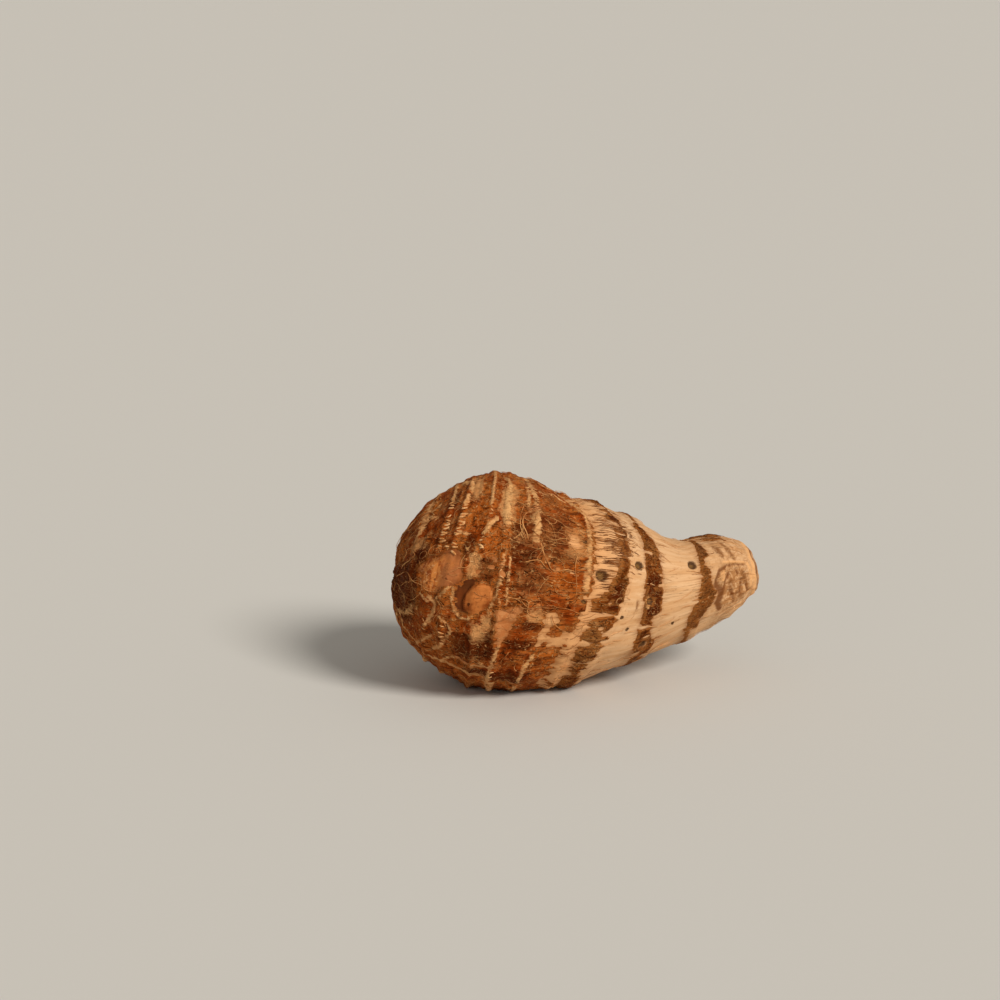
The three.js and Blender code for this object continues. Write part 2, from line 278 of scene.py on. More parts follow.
# %% Heights of buds and scars
EYE_BUDS = [  # place, angle, half sizes along and across, height
    (24.6, 85, 4.4, 4.9, 1.4), (34, 222, 3.8, 4.2, 1.1), (58, 292, 3, 3.6, 0.9),
]
SOCKET_MARGIN = 1  # how far a socket reaches past its bud
SOCKET_DEPTH = 0.8
DOME_SHIFT = 0.17  # share of a bud's half length that its dome is moved towards the neck
DOME_WIDTH = 1.08  # share of a bud's half width
DOME_SLANT = 0.28  # how far a dome leans towards the crown below its middle, in mm a mm
# Root scars: place, angle, radius
FRONT_SCARS = [(54.4, 67, 1.5), (65.6, 58, 1.2), (86.2, 53, 1.3), (68.6, 84, 1.1), (68.1, 120, 1.2)]
BACK_SCAR_RINGS = (30, 52, 68, 84)
BACK_SCAR_START, BACK_SCAR_TURN = 232, 118  # first angle of the scars behind, and their spread
GOLDEN = 0.618  # steps of this share of the spread never line up from ring to ring
BACK_SCARS = [
    (ring, BACK_SCAR_START + BACK_SCAR_TURN * (((i + 1) * GOLDEN + k / 3) % 1), 1.2)
    for i, ring in enumerate(BACK_SCAR_RINGS)
    for k in range(3)
]
SCARS = FRONT_SCARS + BACK_SCARS
SMALL_SCARS = [
    (60.4, 94, 0.55), (50.1, 84, 0.7), (50.4, 46, 0.7), (77.5, 110, 0.5), (62.5, 103, 0.5), (40, 300, 0.7),
]
SCAR_DEPTH = 0.8  # of a scar with a radius of SCAR_RADIUS; smaller ones are shallower
SCAR_RADIUS = 1.2
SCAR_LIP = 0.16


def lens_distance(place, angle, radius, at, centre, along, across):
    """Distance from a spot on the skin, 1 on the rim of an ellipse of the given half sizes."""
    sideways = np.radians(turn(angle, centre)) * np.maximum(radius, 1)
    return np.hypot((place - at) / along, sideways / across)


def dome(distance, height, lift, power=2):
    """Height of a rounded lens over the skin: its lift plus the arc of an ellipse, which a
    larger power makes blunter."""
    return lift + height * np.sqrt(np.clip(1 - distance**power, 0, 1))


def bud_distances(place, angle, radius, bud):
    """Distances from a bud's dome and from its socket's rim, and a share that says where the
    socket is hollow. The dome fills the part that is nearer the neck, so the other is hollow."""
    at, centre, along, across, _ = bud
    round_ = np.radians(turn(angle, centre)) * radius
    dome_at, dome_along = at + DOME_SHIFT * along - DOME_SLANT * round_, (1 - DOME_SHIFT) * along
    inner = lens_distance(place, angle, radius, dome_at, centre, dome_along, DOME_WIDTH * across)
    outer = lens_distance(place, angle, radius, at, centre, along + SOCKET_MARGIN, across + SOCKET_MARGIN)
    return inner, outer, ramp((at - place) / along - 0.2 * round_ / across, -0.3, 0.5)


def bud_height(place, angle, radius):
    """Each eye bud is a dome in a socket, whose floor curves up to a low rim."""
    height = np.zeros(np.shape(place))
    for bud in EYE_BUDS:
        inner, outer, hollow = bud_distances(place, angle, radius, bud)
        socket = np.minimum(0, -dome(outer, SOCKET_DEPTH + 0.5, -0.4)) * (0.12 + 0.88 * hollow)
        top = np.where(inner < 1, dome(inner, bud[4] + 0.4, -0.9, 3), socket)
        ragged = (0.22 + 0.16 * np.cos(np.radians(23 * angle)) * np.cos(place * 4)) * (0.15 + 0.85 * hollow)
        height = height + np.where(np.minimum(inner, outer) < 1, np.maximum(top, socket), 0)
        height = height + ragged * bell(outer - 1.08, 0.07)
    return height


def scar_height(place, angle, radius):
    """Each root scar is a pit with a low lip, and the stump of the root in its middle."""
    height = np.zeros(np.shape(place))
    for at, centre, size in SCARS + SMALL_SCARS:
        distance = lens_distance(place, angle, radius, at, centre, size, size)
        depth = SCAR_DEPTH * size / SCAR_RADIUS
        height = height + np.minimum(0, -dome(distance, depth + 0.3, -0.3))
        height = height + SCAR_LIP * bell(distance - 1.25, 0.22) + 0.3 * depth * bell(distance, 0.4)
    return height


print("root scars:", len(SCARS), "and", len(SMALL_SCARS), "small ones")

# %% [markdown]
# ## Ridges and creases
#
# The rest of a ring is a pale ridge that comes and goes, so it is drawn as a path of a few
# corners on the skin, with a width. At the neck's end, an old leaf scar and its wrinkles are
# creases, drawn in the same way. A path's distance in mm serves its height and its colour.

# %% Paths on the skin
PATH_MARGIN = 3  # how far from a path its distance is worked out, in mm
RIDGES = [  # half width, then corners: ring place and angle
    (0.35, [(11, -30), (9.2, -10), (7.4, 7), (6.7, 22), (6.6, 34)]),
    (0.4, [(9.2, 16), (8, 21)]),
    (0.4, [(9.2, 31), (7.4, 27), (6.9, 33), (6.4, 41)]),
    (0.35, [(12.4, -20), (12.4, 6), (12.5, 22)]),
    (0.65, [(14, -4), (17, 8), (17.3, 16)]),
    (0.6, [(17, 22), (17, 30)]),
    (0.3, [(16.7, 50), (20.2, 50)]),
    (0.45, [(24.6, -30), (24.5, 8), (24.3, 20), (24.7, 32)]),
    (0.7, [(27, 41), (25.4, 45), (24.2, 50)]),
    (0.5, [(28, 2), (29.8, 11), (29.9, 20)]),
    (1, [(29.6, 20), (29.4, 36), (29.8, 43)]),
    (0.2, [(30.2, 60), (30, 72), (29.4, 82), (28, 90)]),
    (0.2, [(31.6, 62), (31.8, 76), (32, 87)]),
    (0.4, [(31.4, 110), (30.4, 120), (29.6, 132), (29.4, 150)]),
    (0.5, [(34.4, -6), (35.2, 12), (35.8, 22), (36.1, 34)]),
    (0.65, [(35.8, 36), (36.4, 44), (36.2, 52)]),
    (0.3, [(34.3, 12), (34.6, 33)]),
    (0.5, [(39.6, 117), (38, 126), (37.4, 140)]),
    (0.45, [(37.5, 2), (41, 1), (43.6, 5), (45, 13), (46, 20), (46.7, 30), (46.3, 42), (45.8, 58),
            (46, 76)]),
    (0.35, [(36.8, 16), (40.6, 10), (43.4, 14)]),
    (0.45, [(12.8, 88), (14.6, 92), (14.4, 98), (13.4, 103), (12.7, 108)]),
    (0.35, [(10.4, 88), (12.7, 91)]),
    (0.35, [(15.8, 98), (18.2, 102), (19.3, 106), (18, 112), (16.7, 120), (14.5, 128)]),
    (0.4, [(4.3, 118), (6.7, 111), (8.3, 100)]),
    (0.4, [(4.6, 119), (5.4, 129), (7, 131), (8.8, 132), (10, 134), (11.6, 138), (13.9, 140), (16.6, 137),
           (18.4, 130)]),
    (0.5, [(18.4, 130), (21.2, 126), (23.7, 128), (26, 127), (29.6, 126)]),
    (0.3, [(10, 133), (12.2, 122), (14.2, 114)]),
    (0.35, [(14.6, 88), (16.7, 83), (18.2, 79)]),
    (0.25, [(18.9, 81), (18.6, 88), (19.6, 93), (21.3, 96.5), (22.8, 97), (24, 94.5)]),
    (0.4, [(12, 150), (12.4, 190), (11.8, 240)]),
    (0.4, [(17, 160), (16.4, 200), (17, 250), (16.6, 300)]),
    (0.45, [(24.6, 170), (24.2, 220), (25, 270), (24.5, 315)]),
    (0.7, [(30.6, 140), (30, 180), (31, 230), (30.4, 280), (30.8, 340)]),
    (0.45, [(37, 145), (36.4, 185), (36.8, 226)]),
    (0.4, [(36.4, 255), (37, 300), (35.6, 345)]),
    (0.5, [(45.4, 195), (46.4, 240), (44.8, 290), (43, 325)]),
    (0.35, [(92.6, 55), (97.8, 56), (104, 58)]),
    (0.6, [(106.6, 356), (107.6, 2)]),
    (0.5, [(107.2, 24), (107.8, 30)]),
    (1.1, [(92.3, 68), (92.9, 75)]),
    (0.5, [(105.4, 62), (106.2, 84), (105.8, 104)]),
    (0.3, [(3.4, 130), (3, 180), (3.6, 230), (3.2, 280)]),
    (0.3, [(7.5, 150), (8.2, 200), (7.6, 260), (8.4, 310)]),
    (0.3, [(65.9, 81), (65.5, 84), (66.2, 88), (67, 86), (66.8, 82), (65.9, 81)]),
]
CREASES = [  # written like the ridges
    (0.6, [(94.4, 60.5), (91, 65), (89.6, 74), (89.6, 81)]),
    (0.95, [(89.8, 82), (91.4, 87), (92.6, 92), (92.3, 99), (91.6, 106), (92.8, 115)]),
    (0.45, [(95.8, 71), (93.6, 79), (93.3, 88)]),
    (0.3, [(94, 59.5), (98, 60), (103.4, 62)]),
    (0.4, [(97, 97), (98, 111)]),
    (0.3, [(99.6, 66), (100.6, 75)]),
    (0.35, [(101.8, 84), (101.2, 103)]),
    (0.4, [(103.8, 97), (104.4, 111)]),
    (0.3, [(66.1, 82.4), (66.4, 86.4)]),
    (0.25, [(70.6, 47), (73, 49)]),
    (0.35, [(94, 180), (97, 200), (95, 230)]),
    (0.4, [(100, 190), (102, 240)]),
    (0.35, [(104, 150), (105, 210), (104, 280)]),
    (0.3, [(108.6, 20), (109, 80), (108.5, 140)]),
    (0.3, [(108.8, 200), (108.3, 260), (108.9, 320)]),
]
SMUDGES = [  # soft brown marks on the flesh, drawn in the same way
    (0.9, [(91.8, 34), (93.4, 46)]),
    (0.9, [(97.6, 38), (98.8, 50)]),
    (0.7, [(96.2, 24), (97.2, 33)]),
    (0.8, [(61.6, 84), (62.2, 89)]),
    (0.9, [(102.6, 76), (103.6, 90)]),
    (0.8, [(99.6, 104), (101.6, 112)]),
    (0.9, [(96.4, 84), (97, 98)]),
]
RIDGE_HEIGHT, CREASE_DEPTH = 0.16, 0.28
print("ridges:", len(RIDGES), "creases:", len(CREASES), "smudges:", len(SMUDGES))

# %% [markdown]
# The distance to a path is the least of the distances to its straight pieces. It is worked out
# only near the path, because there are many paths and the grid is fine.

# %% Distance to a path


def path_distance(ring, angle, path, closed=False):
    """Distance in mm to a path of (ring place, angle) corners on the skin, which is unrolled
    with the girth at the path's middle. It is negative inside a closed path."""
    corners = np.array(path, float)
    middle = corners.mean(0)
    scale = math.radians(1) * float(girth(middle[0]))
    spots = (corners - middle) * (1, scale)
    reach = np.abs(spots).max(0) + PATH_MARGIN
    x, y = np.ravel(ring) - middle[0], turn(np.ravel(angle), middle[1]) * scale
    near = (np.abs(x) < reach[0]) & (np.abs(y) < reach[1])
    x, y = x[near], y[near]
    distance, inside = np.full(x.shape, float(PATH_MARGIN)), np.zeros(x.shape, bool)
    starts, ends = (spots, np.roll(spots, -1, 0)) if closed else (spots[:-1], spots[1:])
    for (x0, y0), (x1, y1) in zip(starts, ends):
        share = ((x - x0) * (x1 - x0) + (y - y0) * (y1 - y0)) / ((x1 - x0) ** 2 + (y1 - y0) ** 2)
        share = np.clip(share, 0, 1)
        distance = np.minimum(distance, np.hypot(x - x0 - share * (x1 - x0), y - y0 - share * (y1 - y0)))
        if closed and y1 != y0:
            inside ^= ((y0 > y) != (y1 > y)) & (x < x0 + (x1 - x0) * (y - y0) / (y1 - y0))
    result = np.full(np.size(ring), float(PATH_MARGIN))
    result[near] = np.where(inside, -distance, distance)
    return result.reshape(np.shape(ring))


def path_cover(paths, ring, angle):
    """How far inside the nearest path's half width a point lies, in mm."""
    cover = np.full(np.shape(ring), -float(PATH_MARGIN))
    for half_width, path in paths:
        cover = np.maximum(cover, half_width - path_distance(ring, angle, path))
    return cover


def path_height(ring, angle):
    """Ridges stand up and creases are cut in, both with rounded edges."""
    ridge, crease = path_cover(RIDGES, ring, angle), path_cover(CREASES, ring, angle)
    return RIDGE_HEIGHT * ramp(ridge, -0.6, 0.5) - CREASE_DEPTH * ramp(crease, -0.6, 0.4)


print("height on a ridge:", path_height(np.array([29.4]), np.array([36.0])).round(2), "mm")

# %% [markdown]
# ## Fine relief
#
# Dry skin is never smooth. Three things roughen it: wrinkles that run along the corm, crowded
# low rings near the crown, and a rumple without direction. The rumple is a sum of plane waves
# in space, so it has no seam where the angle starts again.

# %% Wrinkles and rumples
RUMPLE_SEED = 11
RUMPLE_WAVES = 40
RUMPLE_RADIUS = 22
RUMPLE_HEIGHT = 0.11
CROWDED_HEIGHT, CROWDED_GAP = 0.11, 2.1  # of the low rings on the crown

waves = np.random.default_rng(RUMPLE_SEED)
wave_directions = waves.normal(size=(RUMPLE_WAVES, 3))
wave_directions /= np.linalg.norm(wave_directions, axis=1, keepdims=True)
wave_lengths = waves.uniform(2.6, 12, RUMPLE_WAVES)
wave_phases = waves.uniform(0, 2 * math.pi, RUMPLE_WAVES)


def rumple(ring, angle):
    """Sum of plane waves over the skin rolled up at one radius, longer waves being higher."""
    round_ = np.radians(angle)
    x, y, z = ring, RUMPLE_RADIUS * np.cos(round_), RUMPLE_RADIUS * np.sin(round_)
    total = np.zeros(np.broadcast(ring, angle).shape)
    for (i, j, k), length, phase in zip(wave_directions, wave_lengths, wave_phases):
        total = total + length * np.cos(2 * math.pi / length * (i * x + j * y + k * z) + phase)
    return total / (np.mean(wave_lengths) * math.sqrt(RUMPLE_WAVES / 2))


def fine_relief(ring, angle, radius):
    """Wrinkles along the corm, crowded low rings on the crown, and the rumple."""
    round_ = np.radians(angle)
    drift = 2.2 * np.sin(ring / 7 + 2 * round_)
    wrinkles = 0.07 * np.cos(37 * round_ + drift) + 0.06 * np.cos(59 * round_ - 1.7 * drift + 1)
    wrinkles = wrinkles * (1 - 0.85 * ramp(ring, 50, 60) * (1 - ramp(ring, 92, 98)))
    wrinkles = wrinkles * (1 - 0.9 * ramp(ring, 100, 107))
    crown = 1 - ramp(ring, 30, 44)
    wave = 1.1 * np.sin(3 * round_) + 0.7 * np.sin(7 * round_)
    crowded = CROWDED_HEIGHT * crown * np.cos(2 * math.pi * ring / CROWDED_GAP + wave)
    calm = 1 - 0.9 * bell(ring - 14.5, 6) * bell(turn(angle, 73), 13)
    return (wrinkles + crowded * calm + RUMPLE_HEIGHT * rumple(ring, angle)) * ramp(radius, 2, 9)


def skin_frame(ring, angle, lift=0.0):
    """Points of the skin and three unit vectors there: outwards, along it and round it.

    A point is the spine's point, plus the girth straight out, plus the relief along the plain
    corm's normal. What would reach below the surface that the corm lies on is cut flat."""
    ring, angle = np.broadcast_arrays(np.asarray(ring, float), np.asarray(angle, float))
    place = along_spine(ring, angle)
    radius, slope, along = girth(place), girth_slope(place)[..., None], spine_direction(place)
    side = np.cross(along, [0, 0, 1])
    side /= np.linalg.norm(side, axis=-1, keepdims=True)
    round_ = np.radians(angle)[..., None]
    outward = np.cos(round_) * np.cross(side, along) + np.sin(round_) * side
    normal = (outward - slope * along) / np.sqrt(1 + slope**2)
    height = coarse_relief(ring, place, angle, radius) + fine_relief(ring, angle, radius)
    height = height + bud_height(place, angle, radius) + scar_height(place, angle, radius) + lift
    height = height + path_height(ring, angle)
    points = spine_point(place) + radius[..., None] * outward + height[..., None] * normal
    points[..., 2] = np.maximum(points[..., 2], 0)
    across = np.cross(normal, along)
    across /= np.linalg.norm(across, axis=-1, keepdims=True)
    return points, normal, np.cross(across, normal), across


print("rumple over the crown:", rumple(np.array([5.0, 20, 35]), np.array([0.0, 90, 180])).round(2))

# %% [markdown]
# ## Noise that wraps round the corm
#
# The bark tears in strips, because the fibres in it run along the corm. To tear it in the mesh,
# and not only in a colour, the noise has to be known at the vertices. Two kinds are enough. One
# is a grid of random numbers, blended smoothly. The other gives each short strip one number.

# %% Two kinds of noise


def cell_noise(ring, angle, along, columns, seed):
    """Random numbers on a grid over the skin, blended smoothly between its points. A cell is
    `along` mm long and `columns` of them go round, so the noise has no seam."""
    table = np.random.default_rng(seed).random((int(LENGTH / along) + 4, columns))
    row, column = np.clip(ring, 0, LENGTH) / along, angle % 360 / 360 * columns
    first_row, first_column = np.floor(row).astype(int), np.floor(column).astype(int) % columns
    next_column = (first_column + 1) % columns
    up, over = ramp(row - first_row, 0, 1), ramp(column % 1, 0, 1)
    low = table[first_row, first_column] * (1 - over) + table[first_row, next_column] * over
    high = table[first_row + 1, first_column] * (1 - over) + table[first_row + 1, next_column] * over
    return low * (1 - up) + high * up - 0.5


def rough_noise(ring, angle, along, columns, seed, sizes=3):
    """Cell noise of several sizes, each half as large and half as strong as the one before."""
    layers = (cell_noise(ring, angle, along / 2**k, columns * 2**k, seed + k) / 2**k for k in range(sizes))
    return sum(layers)


def strip_noise(ring, angle, along, columns, seed):
    """One random number for each of many strips along the corm, cut off at random places."""
    random = np.random.default_rng(seed)
    starts, numbers = random.random(columns), random.random((int(LENGTH / along) + 4, columns))
    wander = 1.4 * cell_noise(ring, angle, 7, columns // 4, seed + 1)
    column = np.floor(angle % 360 / 360 * columns + wander).astype(int) % columns
    row = np.clip(np.floor(ring / along + 1 + starts[column]).astype(int), 0, len(numbers) - 1)
    return numbers[row, column] - 0.5


print("strips:", strip_noise(np.array([10.0, 12, 14]), np.array([80.0, 81, 82]), 5, 150, 7).round(2))

# %% [markdown]
# ## Where the bark is left
#
# The old bark covers the bulb, and three bands of it are left on the neck. On the bulb it is
# rubbed through in places. Its cover is one number in mm: above 0 there is bark, below 0 the
# flesh shows, and 0 is the torn edge. Where two pieces of bark meet, the larger number counts.
# Where a bare patch is cut out of them, the smaller one does.

# %% Bands, blots and bare patches
BULB_END = 47  # crumbs of bark lie on the bare parts up to this ring place
BULB_EDGE = [  # angle, ring place where the bulb's bark ends
    (0, 42.6), (6, 44), (14, 45.8), (32, 47.5), (58, 46.6), (76, 46.4), (90, 45.4), (105, 43.6),
    (125, 43), (142, 42.6), (180, 45.5), (240, 46.5), (300, 44), (350, 40),
]
FIRST_BAND = [  # angle, first ring place, last ring place
    (15, 52, 57), (30, 52.2, 56.6), (43, 51.8, 55), (65, 51.2, 53.6), (76, 49.8, 53.8), (93, 47.6, 54.2),
    (108, 48.6, 54), (132, 48.8, 53.2), (180, 48, 53), (240, 49, 54.5), (300, 50, 55), (355, 52.5, 56),
]
SECOND_BAND = [
    (8, 67.2, 67.6), (19, 66, 68.6), (28, 66.8, 70.7), (39, 66.4, 71.3), (52, 65.4, 70.9),
    (64, 64.7, 71.1), (80, 64.7, 71.4), (92.5, 65.6, 71.4), (96, 65.6, 69), (107, 65.3, 69.4),
    (116, 65.3, 70), (122, 65.6, 72.2), (135, 66.8, 71), (150, 67.5, 69), (180, 66.4, 70.5),
    (240, 66.8, 71.6), (300, 66, 70.8),
]
THIRD_BAND = [
    (10, 86.6, 88.6), (29, 84.2, 86.2), (44, 82.7, 86.2), (48, 82.6, 83.8), (56, 82.5, 83.4),
    (63, 82.5, 86.2), (80, 83, 87.6), (90, 82.7, 90.4), (99, 82, 89.4), (112, 82.1, 87.8),
    (121, 82.1, 85.4), (130, 83, 83.2), (180, 82.6, 85.6), (260, 82.4, 86.8), (310, 84, 86.4),
    (350, 87.2, 88.4),
]
# Each band of bark, and how far its first and its last edge are torn
BANDS_LEFT = [(FIRST_BAND, 0.8, 0.8), (SECOND_BAND, 0.7, 0.8), (THIRD_BAND, 0.4, 0.7)]
BLOTS = [  # bits of bark off the bands: ring place, angle, reach along, reach round
    (95.4, 350, 3.6, 17), (82.8, 133, 0.9, 5), (95, 190, 2, 14), (99, 250, 1.4, 16),
    (88.4, 278, 2.8, 11), (85, 128, 0.8, 3),
]
PALE_PATCHES = [  # where tan flesh shows through the bark, written like the blots
    (43.4, 47, 1.3, 7), (27.4, 66, 1.2, 4),
    (67.4, 104, 2.6, 2), (68.2, 113.4, 2.2, 2), (68.8, 121.5, 1, 4), (67.2, 130, 1.6, 3),
    (70.6, 137, 1.4, 3),
    (28, 200, 1.2, 20), (45, 262, 2.4, 22), (31, 300, 1.3, 22), (40, 340, 1.4, 14), (12, 250, 0.6, 24),
    (24, 160, 1.2, 9), (36.6, 190, 0.7, 20), (16.6, 210, 0.5, 28), (24.5, 300, 0.5, 26), (46, 200, 0.8, 20),
]
ORANGE_PATCHES = [(35.6, 250, 3, 8), (20, 290, 3.4, 9)]  # the same, but rubbed orange
BARE_PLATES = [  # corners of bare areas with a clear outline: ring place and angle
    [(29, 89), (32.2, 88.5), (35.6, 87.5), (34.1, 100), (32.8, 108), (31.2, 114), (30.4, 112), (30.2, 101)],
    [(45, 101), (46, 96), (47.6, 98), (48.2, 108), (49, 118), (49, 128), (47.4, 141), (44, 141), (45, 124),
     (45.6, 113), (44.8, 107)],
    [(40.4, 90.5), (42.2, 89.5), (42.9, 98), (42, 100), (42, 106), (40.6, 115), (39.4, 115), (39.8, 106),
     (40.6, 99)],
    [(42.4, 107), (45, 106.5), (45.4, 113), (41, 115)],
    [(46.4, 90.4), (49, 90), (52, 91), (54.4, 92.2), (52, 92.8), (49.8, 93.6), (49, 97), (47.6, 98),
     (46.2, 96)],
]
CHEEK_PLATES = [  # the large cheek that is rubbed orange
    [(8.6, 68), (10.4, 62), (13.4, 63), (15.6, 59), (18.2, 60), (20.6, 67), (20.4, 76), (18, 79),
     (15.6, 84), (12, 87), (9.6, 81)],
]
BARK_PLATES = [  # corners of whole pieces of bark with a clear outline
    [(35.7, 88.5), (39.5, 90.5), (40.2, 99), (39.5, 106), (38.4, 113), (36, 115.5), (31.8, 112.5),
     (33.8, 103)],
    [(41.3, 115.5), (45, 113.5), (44.4, 123), (43.4, 138), (39, 133.5), (40.2, 124)],
    [(42.7, 88), (45.8, 87), (46, 95), (45.6, 102), (43.6, 101)],
    [(42.4, 99.7), (43.8, 100.5), (44.3, 106), (42.7, 106.5)],
    [(47.8, 82), (49.8, 80.5), (50.6, 89), (48.6, 90)],
]
LEAF_SCAR = [  # wrinkled grey areas of old leaf scars
    [(93, 60), (99, 61), (104, 63), (105.6, 84), (105, 110), (98, 114), (93.4, 117), (92.4, 100),
     (90.6, 84), (90.4, 72)],
    [(94, 190), (99, 180), (103, 200), (102, 240), (96, 244), (93, 220)],
]
# Noises of the torn edges: mm along, strips or cells in a turn, seed
TEAR, FINE_TEAR = (5, 150, 7), (3.4, 236, 13)
FRAY, MOTTLE, CRUMBS, HOLES = (9, 110, 17), (5, 36, 29), (2.4, 120, 91), (3, 70, 43)
BARE_TIP = 2.4  # radius of the bare spot on the crown's tip
FAR_OUT = 99  # a cover that never counts


print("bands of bark:", len(BANDS_LEFT), "plates of it:", len(BARK_PLATES))

# %% [markdown]
# A plate has corners, and the distance to its outline is exact. A patch is only a blunt ellipse,
# whose distance is roughly right, but noise can make it ragged.

# %% Cover of plates and patches


def plate_cover(plates, ring, angle):
    """How far inside the nearest outlined area a point lies, in mm."""
    cover = np.full(np.shape(ring), -float(PATH_MARGIN))
    for corners in plates:
        cover = np.maximum(cover, -path_distance(ring, angle, corners, closed=True))
    return cover


def patch_cover(patches, ring, angle, ragged=0.0):
    """The largest of many blunt ellipses: about the distance in mm to the edge, positive inside.
    It is 1 minus the fourth root of the sum of two fourth powers, plus what makes the edge
    ragged, times the ellipse's size."""
    cover = np.full(np.shape(ring), -9.0)
    for at, centre, along, round_ in patches:
        spread = ((ring - at) / along) ** 4 + (turn(angle, centre) / round_) ** 4
        cover = np.maximum(cover, (1 - spread**0.25 + ragged) * min(along, 2.5))
    return cover


middle_of_plate = np.array([43.0]), np.array([110.0])
print("cover in the middle of a plate:", plate_cover(BARE_PLATES, *middle_of_plate).round(1), "mm")

# %% [markdown]
# Bark is put together in this order: the bulb's bark and the bands, then blots, bare patches,
# crumbs, holes and plates. Last, buds, root scars and the crown's tip are kept clear of it.

# %% Cover of bark


def edges_at(table, angle):
    """Ring places of edges at the given angles, between those in a table by angle."""
    angles, *edges = (np.array(column, float) for column in zip(*table))
    return [np.interp(angle, angles, edge, period=360) for edge in edges]


def bands_cover(ring, angle, tear, fine_tear, fray, mottle):
    """Cover of the bulb's bark and of the bands. The first band is thin on top and below."""
    cover = edges_at(BULB_EDGE, angle)[0] - ring + 0.9 * tear + 1.2 * fray + 0.8 * mottle
    thin = bell(turn(angle, 20), 36) + 0.45 * bell(turn(angle, 120), 22)
    thin = thin * ramp(60 - ring, 0, 4)
    gaps = np.maximum(0, 5 * fray - 1.2)
    gaps = gaps + 10 * thin * np.maximum(0, 1.3 * fray + 0.6 * fine_tear + 0.1)
    for table, first_tear, last_tear in BANDS_LEFT:
        first, last = edges_at(table, angle)
        start, end = ring - first, last - ring
        start = start + first_tear * (0.4 * tear + 0.7 * fine_tear + 0.9 * fray) + 0.6 * mottle
        end = end + last_tear * (tear + fray) + 0.8 * mottle
        cover = np.maximum(cover, np.minimum(start, end) - gaps)
    return cover


def clear_marks(cover, ring, angle, tear, mottle):
    """The cover, less what would lie on a bud, in its hollow, on a root scar or on the tip."""
    place = along_spine(ring, angle)
    radius = girth(place)
    for bud in EYE_BUDS:
        inner, outer, hollow = bud_distances(place, angle, radius, bud)
        cover = np.minimum(cover, (inner - 0.92) * bud[2] + 0.6 * tear)
        cover = np.minimum(cover, (outer - 0.98) * bud[2] + 0.7 * tear + 3 * (1 - hollow))
    for at, centre, size in SCARS + SMALL_SCARS:
        distance = lens_distance(place, angle, radius, at, centre, size, size)
        bare_rim = 1.6 if size > 1.3 else 1.15
        cover = np.minimum(cover, (distance - bare_rim) * size)
    tip = np.where(place < CROWN_REACH, radius - BARE_TIP, FAR_OUT) + 0.7 * mottle
    return np.minimum(cover, tip)


def bark_cover(ring, angle):
    """Cover of bark in mm: the bulb, the bands and the blots, less the bare patches and the
    holes, with every edge torn by strips and by noise."""
    tear, fine_tear = strip_noise(ring, angle, *TEAR), strip_noise(ring, angle, *FINE_TEAR)
    fray, mottle = rough_noise(ring, angle, *FRAY), rough_noise(ring, angle, *MOTTLE)
    cover = bands_cover(ring, angle, tear, fine_tear, fray, mottle)
    ragged = 0.5 * mottle + 0.2 * tear + 0.9 * fray
    cover = np.maximum(cover, patch_cover(BLOTS, ring, angle, 1.9 * ragged))
    cover = np.minimum(cover, -patch_cover(PALE_PATCHES + ORANGE_PATCHES, ring, angle, ragged))
    crumbs = 3 * (rough_noise(ring, angle, *CRUMBS) - 0.24)
    cover = np.where(ring < BULB_END, np.maximum(cover, crumbs), cover)
    holes = 0.46 - rough_noise(ring, angle, *HOLES) - 0.5 * fray + 0.3 * ramp(20 - ring, 0, 8)
    cover = np.minimum(cover, 5 * holes)
    bare = plate_cover(BARE_PLATES + CHEEK_PLATES, ring, angle)
    cover = np.minimum(cover, -bare + 0.8 * fray + 1.1 * tear)
    cover = np.maximum(cover, plate_cover(BARK_PLATES, ring, angle) + 0.5 * fray + 0.25 * tear)
    return clear_marks(cover, ring, angle, tear, mottle)


print("bark cover round ring 40:", bark_cover(np.full(6, 40.0), np.arange(6) * 60.0).round(1), "mm")

# %% [markdown]
# ## Sheets over the skin
#
# The corm is made of two kinds of sheet. The flesh is one closed surface over all of it. Bark is
# a thicker sheet that lies on the flesh where there is cover, and dives under it where there is
# none, so that its torn edge is a real step. Each sheet is a grid of ring places and angles. Both
# go into a UV map too, because a UV map may jump at the seam while the mesh stays closed.

# %% Turn a grid into a closed mesh
SKIN_COLUMNS = 300
BURIED = -0.9  # height of a sheet's underside, in mm
SHEET_MARGIN = 0.4  # how far a sheet may stand out of the solid's box, in mm


def grid_corners(rows, columns, joined):
    """Row and column of the four corners of each cell, closed round and, if joined, lengthwise."""
    row, column = np.meshgrid(np.arange(rows if joined else rows - 1), np.arange(columns), indexing="ij")
    corner_rows = np.stack([row, row, row + 1, row + 1], -1).reshape(-1, 4)
    corner_columns = np.stack([column, column + 1, column + 1, column], -1).reshape(-1, 4)
    return corner_rows % rows, corner_columns


def make_mesh(name, points, faces, uv=None, fields=None):
    """A smooth mesh object from points in mm and faces, with a UV map and vertex fields."""
    mesh = bpy.data.meshes.new(name)
    mesh.from_pydata((points.reshape(-1, 3) * MM).tolist(), [], faces)
    mesh.update()
    if uv is not None:
        mesh.uv_layers.new(name="ring_angle").data.foreach_set("uv", uv.astype(np.float32).ravel())
    for field, values in (fields or {}).items():
        attribute = mesh.attributes.new(field, "FLOAT", "POINT")
        attribute.data.foreach_set("value", np.asarray(values, np.float32).ravel())
    mesh.polygons.foreach_set("use_smooth", np.ones(len(mesh.polygons), bool))
    thing = bpy.data.objects.new(name, mesh)
    bpy.context.scene.collection.objects.link(thing)
    return thing


def print_triangles(*pieces):
    """Prints how many triangles each piece has."""
    for piece in pieces:
        print(piece.name, "has", sum(len(p.vertices) - 2 for p in piece.data.polygons), "triangles")


